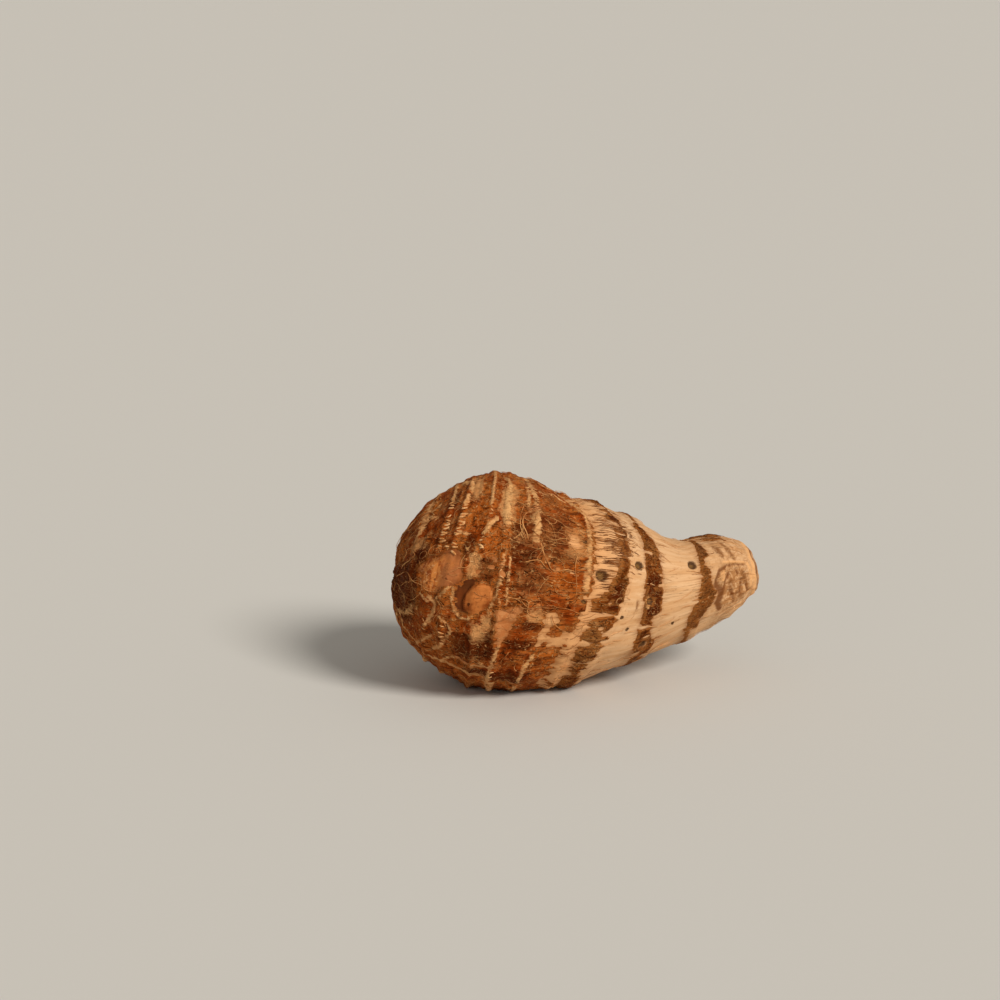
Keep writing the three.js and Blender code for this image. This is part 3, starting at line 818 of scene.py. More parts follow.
def keep_in_box(points, margin, floor=0.0):
    """Points moved into the solid's box, which may be wider by a margin, and onto the floor."""
    low, high = (np.array(corner) / MM for corner in cad_box)
    inside = np.clip(points, low - margin, high + margin)
    inside[..., 2] = np.maximum(inside[..., 2], floor)
    return inside


print("a grid of 3 rows and 4 columns has", len(grid_corners(3, 4, False)[0]), "cells")

# %% [markdown]
# The sheet of flesh closes in a point at either end. A sheet of bark runs along the corm and
# comes back under the flesh, so that it is closed too and its underside is out of sight.

# %% A closed sheet


def sheet(name, rings, columns, height, poles, buried_rows=0):
    """A closed sheet. Its rows lie at the ring places, at heights that a function gives; the
    last rows may be buried, and go back under the first ones. With poles, each end closes in
    a point. Without them, the last row joins the first."""
    angles = np.arange(columns) * 360 / columns
    ring, angle = np.meshgrid(rings, angles, indexing="ij")
    if poles:
        ring = np.concatenate([ring.ravel(), [0, 0 if buried_rows else LENGTH]])
        angle = np.concatenate([angle.ravel(), [0, 0]])
    lift, fields = height(ring.ravel(), angle.ravel())
    if buried_rows:
        buried = np.zeros(len(rings) * columns, bool)
        buried[-buried_rows * columns :] = True
        buried = np.concatenate([buried, [False, True]]) if poles else buried
        lift = np.where(buried, BURIED, lift)
    points = keep_in_box(skin_frame(ring.ravel(), angle.ravel(), lift)[0], SHEET_MARGIN)
    corner_rows, corner_columns = grid_corners(len(rings), columns, not poles)
    faces = (corner_rows * columns + corner_columns % columns).tolist()
    uv = np.stack([corner_columns / columns, rings[corner_rows] / LENGTH], -1).ravel()
    if poles:
        last, pole = (len(rings) - 1) * columns, len(rings) * columns
        first, after = np.arange(columns), (np.arange(columns) + 1) % columns
        faces += np.stack([np.full(columns, pole), after, first], -1).tolist()
        faces += np.stack([last + first, last + after, np.full(columns, pole + 1)], -1).tolist()
        left, right = first / columns, (first + 1) / columns
        low, high = np.full(columns, rings[0] / LENGTH), np.full(columns, rings[-1] / LENGTH)
        head = np.stack([left, low * 0, right, low, left, low], -1).ravel()
        tail = np.stack([left, high, right, high, left, high], -1).ravel()
        uv = np.concatenate([uv, head, tail])
    return make_mesh(name, points, faces, uv, fields)


print("a sheet has", SKIN_COLUMNS, "columns and may leave the box by", SHEET_MARGIN, "mm")

# %% [markdown]
# ## Where the colours lie
#
# The flesh is tan on the neck and orange where it is rubbed. The bark is reddish, darker where it
# is thick, and grey where fibres cover it. One dark patch, on the front of the crown's end, is
# painted shade, and one warm patch, on the crown's lower front, is painted light. A patch of colour
# is a blunt ellipse on the skin, and the mesh carries its distance to the edge, which the material
# makes ragged with noise.

# %% Patches of colour
TINTS = {  # ring place, angle, reach along, reach round
    "dark": [
        # The wide patch at ring place 4.5, angle 92 is painted shade on the front of the crown's end.
        (35.8, 110, 3.6, 3.4), (24.6, 114, 4.6, 9), (4.5, 92, 4.6, 32), (33, 56, 1.6, 14),
        (27.8, 112, 2.6, 9), (34, 170, 5, 16), (43, 215, 3, 22), (27, 255, 4, 16),
        (38, 300, 4, 20), (20, 330, 3, 20), (14, 215, 4, 22), (68, 80, 3.4, 16), (52.4, 80, 2, 9),
        (68, 270, 2.6, 40), (21.6, 88, 1.6, 9), (26, 70, 2.2, 6), (68.4, 119, 2.2, 6),
        (8, 62, 2, 10), (21, 56, 1.4, 8), (13, 20, 1.2, 12), (29, 134, 6, 4), (36, 136, 3, 5),
        (35, 62, 2, 6), (37.6, 98, 1.6, 3), (30.6, 71, 1.4, 5),
    ],
    "grey": [
        (38, 46, 5, 16), (36, 73, 3, 8), (40, 190, 5, 22), (24, 320, 5, 22), (53, 32, 4, 24),
        (97, 350, 6, 20), (85, 34, 3, 12),
    ],
    "pale": [
        (29.4, 28, 2, 14), (27.4, 98, 1.2, 4), (25.8, 104, 1.5, 5), (23, 68, 1.4, 5),
        (6.5, 49, 1.2, 6), (38, 92, 1.2, 3), (43.4, 48, 1.5, 8), (19, 14, 1.4, 10),
        (22, 137, 6, 2), (29, 210, 2, 18), (44, 262, 2, 20), (38, 336, 3, 12),
    ],
    "warm": [
        (42.6, 73, 2.8, 6), (44.4, 64, 1.6, 6), (42, 124, 3, 10), (50, 112, 3, 12),
        # The patch at ring place 13, angle 133 is painted light: it lightens the crown's lower front, which
        # lies in shade.
        (20, 136, 6, 8), (28, 56, 2.4, 12), (22, 40, 2, 10), (13, 133, 5, 9), (69, 44, 2.2, 9),
        (35, 250, 6, 18), (20, 290, 6, 18), (33, 168, 4, 14), (12, 190, 5, 18), (9, 74, 4, 12),
    ],
}


def tint_fields(ring, angle):
    """For each colour, how far inside its patches a point lies, in mm."""
    return {name: patch_cover(patches, ring, angle) for name, patches in TINTS.items()}


def mark_fields(ring, angle):
    """How far inside an eye bud's dome and the hollow of its socket a point lies, in mm, and how
    far inside a root scar's lip, as a share of the scar's radius."""
    place = along_spine(ring, angle)
    radius = girth(place)
    bud, groove, scar = (np.full(place.shape, -2.0) for _ in range(3))
    for eye in EYE_BUDS:
        inner, outer, hollow = bud_distances(place, angle, radius, eye)
        bud = np.maximum(bud, (1 - inner) * eye[2])
        groove = np.maximum(groove, (1 - outer) * eye[2] - 3 * (1 - hollow))
    for at, centre, size in SCARS + SMALL_SCARS:
        distance = lens_distance(place, angle, radius, at, centre, size, size)
        scar = np.maximum(scar, 1.3 - distance)
    return {"bud": bud, "groove": groove, "scar": scar}


print("patches of colour:", {name: len(patches) for name, patches in TINTS.items()})

# %% [markdown]
# ## Flesh and bark
#
# The rows of a sheet are spread evenly over the corm's outline, so that they don't thin out
# where the crown is blunt. The flesh lies a little under the solid's surface. The bark lies on
# it, thick on the bulb and thin on the neck.

# %% Make the flesh and the bark
FLESH_SINK = 0.15  # the flesh lies this far under the solid's surface, in mm
OUTLINE_STEPS = 4000


def even_ring_places(start, end, count):
    """Ring places whose distance over the plain corm's outline is even."""
    fine = np.linspace(start, end, OUTLINE_STEPS)
    steps = np.hypot(np.diff(fine), np.diff(girth(fine)))
    walked = np.concatenate([[0], np.cumsum(steps)])
    return np.interp(np.linspace(0, walked[-1], count + 2), walked, fine)[1:-1]


def flesh_height(ring, angle):
    """The flesh's height, the same everywhere, and what its material needs to know."""
    fields = mark_fields(ring, angle)
    fields["cover"] = bark_cover(ring, angle)
    fields["orange"] = patch_cover(ORANGE_PATCHES, ring, angle)
    fields["orange"] = np.maximum(fields["orange"], plate_cover(CHEEK_PLATES, ring, angle))
    fields["crease"] = path_cover(CREASES, ring, angle)
    fields["ridge"] = path_cover(RIDGES, ring, angle)
    fields["shade"] = plate_cover(LEAF_SCAR, ring, angle)
    fields["smudge"] = path_cover(SMUDGES, ring, angle)
    return np.full(ring.shape, -FLESH_SINK), fields


BARK_LIFT, NECK_LIFT = 0.28, 0.14  # heights of the bark on the bulb and on the neck
BARK_DIVE = -0.35  # height of the bark's sheet where there is none of it
BARK_SLOPE = 0.5
BARK_WRINKLES = [(0.26, 5, 130, 71), (0.4, 3.5, 60, 83)]  # height, then mm along, cells, seed


def bark_height(ring, angle):
    """Half the cover, within limits, and wrinkled where there is bark."""
    cover = bark_cover(ring, angle)
    wrinkles = sum(tall * rough_noise(ring, angle, *grid) for tall, *grid in BARK_WRINKLES)
    fields = tint_fields(ring, angle)
    fields["cover"] = cover
    fields["ridge"] = path_cover(RIDGES, ring, angle)
    lift = BARK_LIFT + (NECK_LIFT - BARK_LIFT) * ramp(ring, 46, 62)
    height = np.clip(cover * BARK_SLOPE, BARK_DIVE, lift)
    return height + wrinkles * ramp(cover, 0, 0.5) * lift / BARK_LIFT, fields


FLESH_ROWS = 300
BACK_INSET = (0.3, 1)  # how far inside a bark sheet's first and last row its buried back stays
BARK_SHEETS = [  # name, first and last ring place, rows, columns, buried rows, a pole at the crown
    ("bark_bulb", 0, 59, 244, 380, 14, True),
    ("bark_band", 63, 74.5, 46, 330, 5, False),
    ("bark_neck", 80.5, LENGTH - 1.5, 124, 240, 8, False),
]

skin = sheet("skin", even_ring_places(0, LENGTH, FLESH_ROWS), SKIN_COLUMNS, flesh_height, True)
bark = []
for name, start, end, rows, columns, buried, pole in BARK_SHEETS:
    back = even_ring_places(start + BACK_INSET[0], end - BACK_INSET[1], buried)[::-1]
    rings = np.concatenate([even_ring_places(start, end, rows), back])
    bark.append(sheet(name, rings, columns, bark_height, pole, buried))
print_triangles(skin, *bark)

# %% [markdown]
# ## Fibres, hairs and beads
#
# The corm is hairy with the strings that ran through the leaf bases. All of them are tubes on
# paths over the skin: a path starts on the corm, walks over it with a heading that drifts, and
# lifts off between its ends. A bead is only a short fat tube.

# %% Walk over the skin and draw tubes
FLOOR_GAP = 0.06  # how far above the floor a tube stays, in mm
TUBE_MARGIN = 0.5  # how far a tube may stand out of the solid's box
WALK_ENDS = (0.4, LENGTH - 0.6)  # ring places that no path leaves
LEAST_RADIUS = 2.5  # a path turns round a tip as if the corm were at least so thick there
TINY = 1e-6  # keeps a length of 0 from being divided by


def walk(ring, angle, heading, length, count, curl, random, bend=0.0):
    """Paths of ring places and angles. At each step a heading, 0 towards the neck and 90 towards
    larger angles, drifts by a random turn and a steady bend."""
    rings, angles = [ring], [angle]
    drift = random.normal(0, 1, ring.shape)
    for _ in range(count - 1):
        drift = 0.6 * drift + random.normal(0, 1, ring.shape)
        heading = heading + curl * drift + bend
        radius = np.maximum(girth(along_spine(rings[-1], angles[-1])), LEAST_RADIUS)
        step = length / (count - 1)
        rings.append(np.clip(rings[-1] + step * np.cos(np.radians(heading)), *WALK_ENDS))
        angles.append(angles[-1] + np.degrees(step * np.sin(np.radians(heading)) / radius))
    return np.stack(rings, 1), np.stack(angles, 1)


print("paths stay between ring places", WALK_ENDS)

# %% [markdown]
# A tube is a ring of a few vertices at each point of a path, joined to the next ring, with a
# polygon over either end.

# %% Tubes round paths


def tubes(name, rings, angles, lift, radius, sides, flat=1.0):
    """One mesh of closed tubes round paths. At each point of a path a ring of vertices stands
    across it, of the given radius along the skin and a share `flat` of it off the skin. A path
    that would meet the floor is left out."""
    centre, normal, _, _ = skin_frame(rings, angles, lift)
    above = (centre[..., 2] - radius).min(1) > FLOOR_GAP
    rings, centre, normal, radius = rings[above], centre[above], normal[above], radius[above]
    along = np.gradient(centre, axis=1)
    across = np.cross(along, normal)
    across /= np.maximum(np.linalg.norm(across, axis=-1, keepdims=True), TINY)
    over = np.cross(across, along)
    over /= np.maximum(np.linalg.norm(over, axis=-1, keepdims=True), TINY)
    turns = np.arange(sides)[:, None] / sides * 2 * math.pi
    circle = across[:, :, None] * np.cos(turns) + flat * over[:, :, None] * np.sin(turns)
    points = keep_in_box(centre[:, :, None] + radius[:, :, None, None] * circle, TUBE_MARGIN, FLOOR_GAP)
    paths, steps = rings.shape
    grid = np.meshgrid(range(paths), range(steps - 1), range(sides), indexing="ij")
    path, step, side = (index.ravel() for index in grid)
    corner = (path * steps + step) * sides
    beside = (side + 1) % sides
    walls = np.stack([corner + side, corner + sides + side, corner + sides + beside, corner + beside], -1)
    starts = np.arange(paths)[:, None] * steps * sides + np.arange(sides)
    ends = (np.arange(paths)[:, None] * steps + steps - 1) * sides + np.arange(sides)[::-1]
    return make_mesh(name, points, walls.tolist() + starts.tolist() + ends.tolist())


def scatter(random, clusters):
    """Random ring places and angles, in bells round the given middles."""
    rings = [random.normal(at, along, count) for at, _, along, _, count in clusters]
    angles = [random.normal(centre, round_, count) for _, centre, _, round_, count in clusters]
    return np.clip(np.concatenate(rings), 1, LENGTH - 2), np.concatenate(angles)


print("tubes stay", FLOOR_GAP, "mm above the floor")

# %% [markdown]
# ## Beads
#
# Rows of pale beads sit on the rings' crests, where bundles of fibres once left the corm. They
# are evenly spaced but for a little chance, and some are missing.

# %% Beads on the crests of rings
BEAD_ARCS = [  # ring place, first angle, last angle, beads in a turn, size
    (6.8, 6, 36, 90, 0.6), (12.6, 14, 34, 140, 0.8), (13.2, 36, 59, 165, 1.1), (17.3, 28, 62, 170, 1.2),
    (14.8, 57, 61, 110, 1), (24, 50, 63, 165, 1.1), (22.6, 63, 74, 130, 1), (25.4, 36, 44, 130, 1),
    (24.4, 8, 36, 150, 0.8), (20.4, 4, 40, 60, 0.7), (30, 62, 86, 150, 0.7), (36.2, 12, 34, 130, 0.8),
    (12, 100, 124, 90, 0.9), (17, 104, 126, 90, 0.9), (8, 104, 126, 80, 0.9), (12, 150, 235, 88, 0.9),
    (16.6, 170, 300, 90, 1), (24.5, 205, 300, 92, 1), (30.2, 130, 340, 96, 0.9),
    (36.6, 160, 262, 96, 0.8), (46.2, 195, 335, 100, 0.8), (6, 150, 260, 70, 0.8),
]
BEADS_KEPT = 0.85  # share of them
BEAD_RADIUS = 0.32  # of a bead of size 1
BEAD_LIFT = 0.32  # height of every bead's middle over the skin
BEAD_PROFILE = np.array([0.5, 0.95, 1, 0.9, 0.45])
FIBRE_SEED = 5

random = np.random.default_rng(FIBRE_SEED)


def bead_row(at, first, last, in_turn, size):
    """Ring places, angles and sizes of the beads on one arc."""
    count = int((last - first) / 360 * in_turn)
    kept = random.random(count) < BEADS_KEPT
    rings = at + random.normal(0, 0.2, count)
    angles = first + (np.arange(count) + random.uniform(-0.2, 0.2, count)) * 360 / in_turn
    sizes = size * random.uniform(0.6, 1.15, count)
    return np.stack([rings, angles, sizes])[:, kept]


bead_rings, bead_angles, bead_sizes = np.concatenate([bead_row(*arc) for arc in BEAD_ARCS], 1)
heading = random.normal(0, 12, len(bead_rings))
bead_starts, bead_lengths = bead_rings - 0.7 * bead_sizes, 1.5 * bead_sizes
path_rings, path_angles = walk(
    bead_starts, bead_angles, heading, bead_lengths, len(BEAD_PROFILE), 8, random
)
bead_radius = BEAD_RADIUS * bead_sizes[:, None] * BEAD_PROFILE
beads = tubes("ring_beads", path_rings, path_angles, BEAD_LIFT, bead_radius, 5, 0.5)
print_triangles(beads)

# %% [markdown]
# ## Strands
#
# A strand is a thin tapered tube that walks off on its own: its start, length, heading and
# thickness are drawn by chance, within limits. Rings carry a fringe of short strands.

# %% A fringe on the rings
FRINGE_RINGS = [6, 12, 16.6, 24.5, 30.2, 36.6, 46.2]
FRINGE_COUNT = 700
STRAND_SIDES = 3
MAT_COVER = 0.3  # the least cover of bark, in mm, that a strand of the mat lies on


def tapered(thick, steps, tip=0.3):
    """Radii along paths that shrink from their root to a share `tip` at the end."""
    return np.outer(thick, 1 - (1 - tip) * np.linspace(0, 1, steps) ** 1.5)


def strands(
    name, ring, angle, length, heading, steps, curl, rise, thick,
    tip=0.3, bend=0.0, slope=1.0, on_bark=False,
):
    """Strands that start at the ring places and angles. `rise` gives the height of their feet,
    the least and the most that they rise over it, and how that varies from 0 to 1 along them;
    `slope` is a factor on it. `thick` gives their least and their most radius. Those that have
    to lie on bark are left out where there is none under their middle."""
    path_rings, path_angles = walk(ring, angle, heading, length, steps, curl, random, bend)
    foot, low, high, profile = rise
    risen = slope * random.uniform(low, high, len(length))
    lift = foot + np.outer(risen, profile(np.linspace(0, 1, steps)))
    radius = tapered(random.uniform(*thick, len(length)), steps, tip)
    middle = steps // 2
    kept = np.full(len(length), True)
    if on_bark:
        kept = bark_cover(path_rings[:, middle], path_angles[:, middle]) > MAT_COVER
    return tubes(name, path_rings[kept], path_angles[kept], lift[kept], radius[kept], STRAND_SIDES)


ring = random.choice(FRINGE_RINGS, FRINGE_COUNT) + random.normal(0, 0.5, FRINGE_COUNT)
angle = random.uniform(0, 360, FRINGE_COUNT)
length = random.uniform(1.4, 4.5, FRINGE_COUNT)
heading = random.normal(0, 22, FRINGE_COUNT)
rise = (-0.05, 0.2, 0.5, lambda share: np.sin(share * 2.4))
fringe = strands("ring_fringe", ring, angle, length, heading, 7, 9, rise, (0.05, 0.1))
print_triangles(fringe)

# %% [markdown]
# The thickest strings are laid along a few given corners each.

# %% Strings that are laid along given corners
LAID_STRINGS = [  # the thickest ones: radius, then corners of ring place and angle
    (0.2, [(35.2, 32), (33.8, 36), (33.4, 42), (34.4, 48), (35.2, 54)]),
    (0.14, [(33.4, 30), (32.8, 38), (33.2, 46), (34.4, 52), (34.8, 58)]),
    (0.18, [(37, 52), (37.6, 57), (38.6, 62), (39.9, 67), (42.4, 65.5), (44.4, 66.5)]),
    (0.14, [(34.6, 64), (37, 62.5), (38.2, 65), (39.8, 68.5), (38.4, 72)]),
    (0.16, [(31, 82), (33, 83), (36.2, 84), (36.6, 90), (38.3, 92.5), (40.4, 90)]),
    (0.16, [(36, 87), (36.8, 84), (38.6, 83.5), (39.2, 87), (41.4, 87.5), (43.2, 85)]),
    (0.12, [(34, 81), (35.8, 86), (37.4, 88), (38, 85), (36.4, 82)]),
    (0.15, [(33.9, 115), (33.2, 118), (32.6, 121), (32.3, 124)]),
    (0.12, [(41.4, 92), (42, 96), (43.4, 100), (44.8, 102)]),
    (0.14, [(43.8, 56), (43.6, 64), (44.2, 72), (44.6, 82)]),
    (0.14, [(2.6, 60), (3.6, 52), (3, 40), (4.6, 36), (6.2, 42)]),
    (0.14, [(3, 70), (4.4, 64), (6.6, 60), (5.6, 54)]),
    (0.12, [(1.8, 84), (3.2, 78), (5, 74), (6.4, 76)]),
    (0.16, [(36, 186), (38, 200), (36.6, 214), (39, 226), (37, 238)]),
    (0.16, [(24, 244), (27, 252), (25, 262), (28, 272)]),
]
LAID_STEPS = 24
LAID_FOOT, LAID_RISE = 0.12, 0.3  # height of a string's ends, and how far its middle rises


def smooth_path(corners):
    """Ring places and angles along a smooth curve through corners that are evenly spread."""
    shares, corners = np.linspace(0, 1, len(corners)), np.array(corners, float)
    curves = (curve_through(np.stack([shares, column], 1)) for column in corners.T)
    return [curve(np.linspace(0, 1, LAID_STEPS)) for curve in curves]


laid_paths = np.array([smooth_path(corners) for _, corners in LAID_STRINGS])
laid_lift = LAID_FOOT + LAID_RISE * np.sin(np.linspace(0, 1, LAID_STEPS) * math.pi) ** 0.5
laid_radius = tapered([radius for radius, _ in LAID_STRINGS], LAID_STEPS, 0.6)
laid_strings = tubes("laid_strings", laid_paths[:, 0], laid_paths[:, 1], laid_lift, laid_radius, 5)
print_triangles(laid_strings)

# %% [markdown]
# The others lie in clusters. Loose strings wind over the bark, fine hairs stand on it, and where
# it is grey a mat of short fibres covers it. Fibres run along the corm, in either direction.

# %% Loose strings, hairs and the mat of fibres
BOTH_WAYS = [0.0, 180.0]
STRING_CLUSTERS = [  # ring place, angle, reach along, reach round, count
    (36, 42, 2, 9, 26), (37, 86, 2, 3, 16), (41, 60, 3, 10, 12), (9, 112, 5, 18, 10), (5, 50, 3, 26, 16),
    (24, 70, 3, 8, 4), (37, 200, 5, 30, 26), (22, 250, 8, 40, 24), (34, 310, 6, 30, 24), (22, 20, 8, 24, 8),
    (14, 300, 6, 40, 16),
]
ring, angle = scatter(random, STRING_CLUSTERS)
length = random.uniform(4, 13, len(ring))
heading = random.choice(BOTH_WAYS, len(ring)) + random.normal(0, 40, len(ring))
bend = random.normal(0, 5, len(ring))
rise = (0.1, 0.15, 0.7, lambda share: np.sin(share * math.pi) ** 0.7)
strings = strands(
    "loose_strings", ring, angle, length, heading, 14, 13, rise, (0.06, 0.11), 0.5, bend
)

HAIR_COUNT = 900
ring = random.uniform(2, 48, HAIR_COUNT)
angle = random.uniform(0, 360, HAIR_COUNT)
length = random.uniform(0.8, 2.8, HAIR_COUNT)
heading = random.uniform(0, 360, HAIR_COUNT)
rise = (-0.1, 0.1, 0.4, lambda share: share**1.2)
hairs = strands(
    "bark_hairs", ring, angle, length, heading, 5, 16, rise, (0.03, 0.055), slope=length
)

MAT_CLUSTERS = [  # ring place, angle, reach along, reach round, count
    (37, 44, 3, 12, 420), (38, 26, 3, 12, 160), (9, 30, 5, 24, 110), (5, 80, 3, 30, 100),
    (36, 205, 6, 34, 420), (22, 270, 9, 50, 420), (38, 310, 5, 30, 240), (12, 170, 6, 50, 200),
    (24, 120, 10, 12, 90),
]
ring, angle = scatter(random, MAT_CLUSTERS)
length = random.uniform(1.4, 4.5, len(ring))
heading = random.choice(BOTH_WAYS, len(ring)) + random.normal(0, 30, len(ring))
rise = (0, 0.1, 0.3, np.ones_like)
mat = strands("fibre_mat", ring, angle, length, heading, 6, 12, rise, (0.04, 0.08), on_bark=True)
print_triangles(strings, hairs, mat)

# %% [markdown]
# ## Slivers and flesh fibres
#
# Where bark was torn off, narrow slivers of it are left on the bare neck. The flesh there shows
# its own pale fibres. Both lie flat and run along the corm.

# %% Slivers of bark on the bare neck
SLIVER_CLUSTERS = [  # ring place, angle, reach along, reach round, count
    (49.4, 46, 1.2, 14, 90), (53, 26, 2.8, 18, 130), (49, 68, 1, 8, 26), (57, 24, 1.6, 14, 26),
    (48, 100, 1.2, 8, 8), (69, 50, 3, 40, 8), (51, 200, 3, 50, 80), (51, 300, 3, 50, 80),
    (60, 250, 4, 60, 24), (70, 240, 4, 60, 24), (84, 60, 3, 60, 8), (97, 200, 6, 150, 20),
]
SLIVER_SHAPE = np.sin(np.linspace(0.12, 0.96, 7) * math.pi)  # thickness along a sliver
SLIVER_SIDES, SLIVER_FLATNESS = 4, 0.6  # flatness: thickness off the skin as a share of that along it
VEIN_COUNT = 260


def flat_strands(name, ring, angle, length, heading, curl, thick, lift):
    """Flat strands, thickest in the middle, that lie on the skin all along."""
    path_rings, path_angles = walk(ring, angle, heading, length, len(SLIVER_SHAPE), curl, random)
    radius = np.outer(random.uniform(*thick, len(length)), SLIVER_SHAPE)
    return tubes(name, path_rings, path_angles, lift, radius, SLIVER_SIDES, SLIVER_FLATNESS)


ring, angle = scatter(random, SLIVER_CLUSTERS)
length = random.uniform(1.2, 4.5, len(ring))
heading = random.normal(0, 5, len(ring))
slivers = flat_strands("bark_slivers", ring, angle, length, heading, 2.5, (0.05, 0.11), 0.02)

ring = random.uniform(47, 104, VEIN_COUNT)
angle = random.uniform(0, 360, VEIN_COUNT)
length = random.uniform(2, 7, VEIN_COUNT)
heading = random.normal(0, 6, VEIN_COUNT)
veins = flat_strands("flesh_fibres", ring, angle, length, heading, 4, (0.06, 0.13), 0.03)
print_triangles(slivers, veins)

# %% [markdown]
# ## Shader maths
#
# Written out as nodes, a pattern of a few terms takes dozens of lines. A small class that wraps
# an output socket lets it be written as a sum instead: each operator adds its Math node.

# %% A class for shader maths


class Wire:
    """An output socket of a node tree. Arithmetic on it adds Math nodes and gives a new wire."""

    def __init__(self, tree, socket):
        self.tree = tree
        self.socket = socket

    def node(self, kind, settings=None, sockets=None, output=0):
        """Adds a node, sets its settings, then fills its sockets with values or wires."""
        return add_node(self.tree, kind, settings, sockets, output)

    def maths(self, operation, *others):
        """Adds a Math node on this wire and others, in that order."""
        terms = dict(enumerate((self, *others)))
        return self.node("ShaderNodeMath", {"operation": operation}, terms)

    def __add__(self, other):
        return self.maths("ADD", other)

    def __sub__(self, other):
        return self.maths("SUBTRACT", other)

    def __rsub__(self, other):
        return self.node("ShaderNodeMath", {"operation": "SUBTRACT"}, {0: other, 1: self})

    def __mul__(self, other):
        return self.maths("MULTIPLY", other)

    __radd__ = __add__
    __rmul__ = __mul__

    def step(self, low, high):
        """0 below low, 1 above high and smooth between; low may be above high."""
        settings = {"interpolation_type": "SMOOTHSTEP"}
        return self.node("ShaderNodeMapRange", settings, {"Value": self, "From Min": low, "From Max": high})


print("a wire has:", [name for name in vars(Wire) if not name.startswith("__")])

# %% [markdown]
# Nodes are added in one place only. Colours are given as a screen shows them and turned into
# linear values.

# %% Nodes and colours


def add_node(tree, kind, settings=None, sockets=None, output=0):
    """The one way to add a node: its type, its settings, and its sockets' values or wires."""
    node = tree.nodes.new(kind)
    for name, value in (settings or {}).items():
        setattr(node, name, value)
    for key, value in (sockets or {}).items():
        if isinstance(value, Wire):
            tree.links.new(value.socket, node.inputs[key])
        else:
            node.inputs[key].default_value = value
    return Wire(tree, node.outputs[output])


def paint(red, green, blue):
    """A colour from screen values of 0 to 255, as the linear values that shaders use."""
    screen = np.array([red, green, blue]) / 255
    linear = np.where(screen <= 0.04045, screen / 12.92, ((screen + 0.055) / 1.055) ** 2.4)
    return (*linear.tolist(), 1.0)


def blend(share, under, over):
    """One colour laid over another by a share."""
    sockets = {0: share, 6: under, 7: over}
    return share.node("ShaderNodeMix", {"data_type": "RGBA"}, sockets, output=2)


print("a middle grey is", round(paint(119, 119, 119)[0], 3), "in linear values")

# %% [markdown]
# A finish is a material with its coordinates and patterns. Noise is read on the corm rolled up
# as a tube, which narrows to a point at either end so that the pattern has no seam there.

# %% A class for finishes
ROLL_RADIUS = 22
BUMP_STRENGTH = 0.9
CROWN_TAPER, NECK_TAPER = 12, 5  # how far from each end the roll narrows to a point, in mm


class Finish:
    """A material, and patterns in the coordinates of the skin: ring place in mm, and the angle
    rolled up at one radius."""

    def __init__(self, name):
        self.material = bpy.data.materials.new(name)
        self.material.use_nodes = True
        self.tree = self.material.node_tree
        self.shader = self.tree.nodes["Principled BSDF"]

    def roll_up(self):
        """Makes the coordinates from the UV map: ring place, and two across the rolled angle."""
        uv = add_node(self.tree, "ShaderNodeUVMap", {"uv_map": "ring_angle"})
        turned = add_node(self.tree, "ShaderNodeSeparateXYZ", sockets={0: uv}) * (2 * math.pi)
        self.ring = add_node(self.tree, "ShaderNodeSeparateXYZ", sockets={0: uv}, output=1) * LENGTH
        crown = (self.ring * (1 / CROWN_TAPER)).maths("MINIMUM", 1)
        neck = ((LENGTH - self.ring) * (1 / NECK_TAPER)).maths("MINIMUM", 1)
        span = (crown * neck).maths("POWER", 0.5) * ROLL_RADIUS
        self.wide = turned.maths("COSINE") * span
        self.deep = turned.maths("SINE") * span
        return self

    def field(self, name):
        """A named vertex field of the mesh."""
        return add_node(self.tree, "ShaderNodeAttribute", {"attribute_name": name}, output=2)

    def noise(self, along, round_, detail=3, rough=0.55, seed=0, distortion=0):
        """Noise of the given sizes in mm along the corm and round it, about 0.5 on average."""
        sockets = {0: self.ring * (1 / along) + seed}
        sockets |= {1: self.wide * (1 / round_), 2: self.deep * (1 / round_)}
        spot = add_node(self.tree, "ShaderNodeCombineXYZ", sockets=sockets)
        return self.noise_at(spot, 1, detail, rough, distortion)

    def noise_at(self, spot, scale, detail=3, rough=0.55, distortion=0):
        """Noise at a wire of coordinates, times a scale."""
        sockets = {"Vector": spot, "Scale": scale, "Detail": detail}
        sockets |= {"Roughness": rough, "Distortion": distortion}
        return add_node(self.tree, "ShaderNodeTexNoise", sockets=sockets)

    def lines(self, along, round_, width, seed, detail=2):
        """Thin lines where the noise crosses its middle value."""
        return (self.noise(along, round_, detail, seed=seed) - 0.5).maths("ABSOLUTE").step(width, 0)

    def finish(self, colour, height, bump_mm, roughness, specular=0.35):
        """Connects a colour, a height for the bump, and a roughness that may vary."""
        sockets = {"Strength": BUMP_STRENGTH, "Distance": bump_mm * MM, "Height": height}
        bump = add_node(self.tree, "ShaderNodeBump", sockets=sockets)
        for socket, wire in (("Base Color", colour), ("Normal", bump), ("Roughness", roughness)):
            if isinstance(wire, Wire):
                self.tree.links.new(wire.socket, self.shader.inputs[socket])
            else:
                self.shader.inputs[socket].default_value = wire
        self.shader.inputs["Specular IOR Level"].default_value = specular
        return self.material


def dress(pieces, material):
    """Gives pieces a material and attaches them to the body "root"."""
    for piece in pieces:
        piece.data.materials.append(material)
        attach(piece, "root")


print("bump strength:", BUMP_STRENGTH)
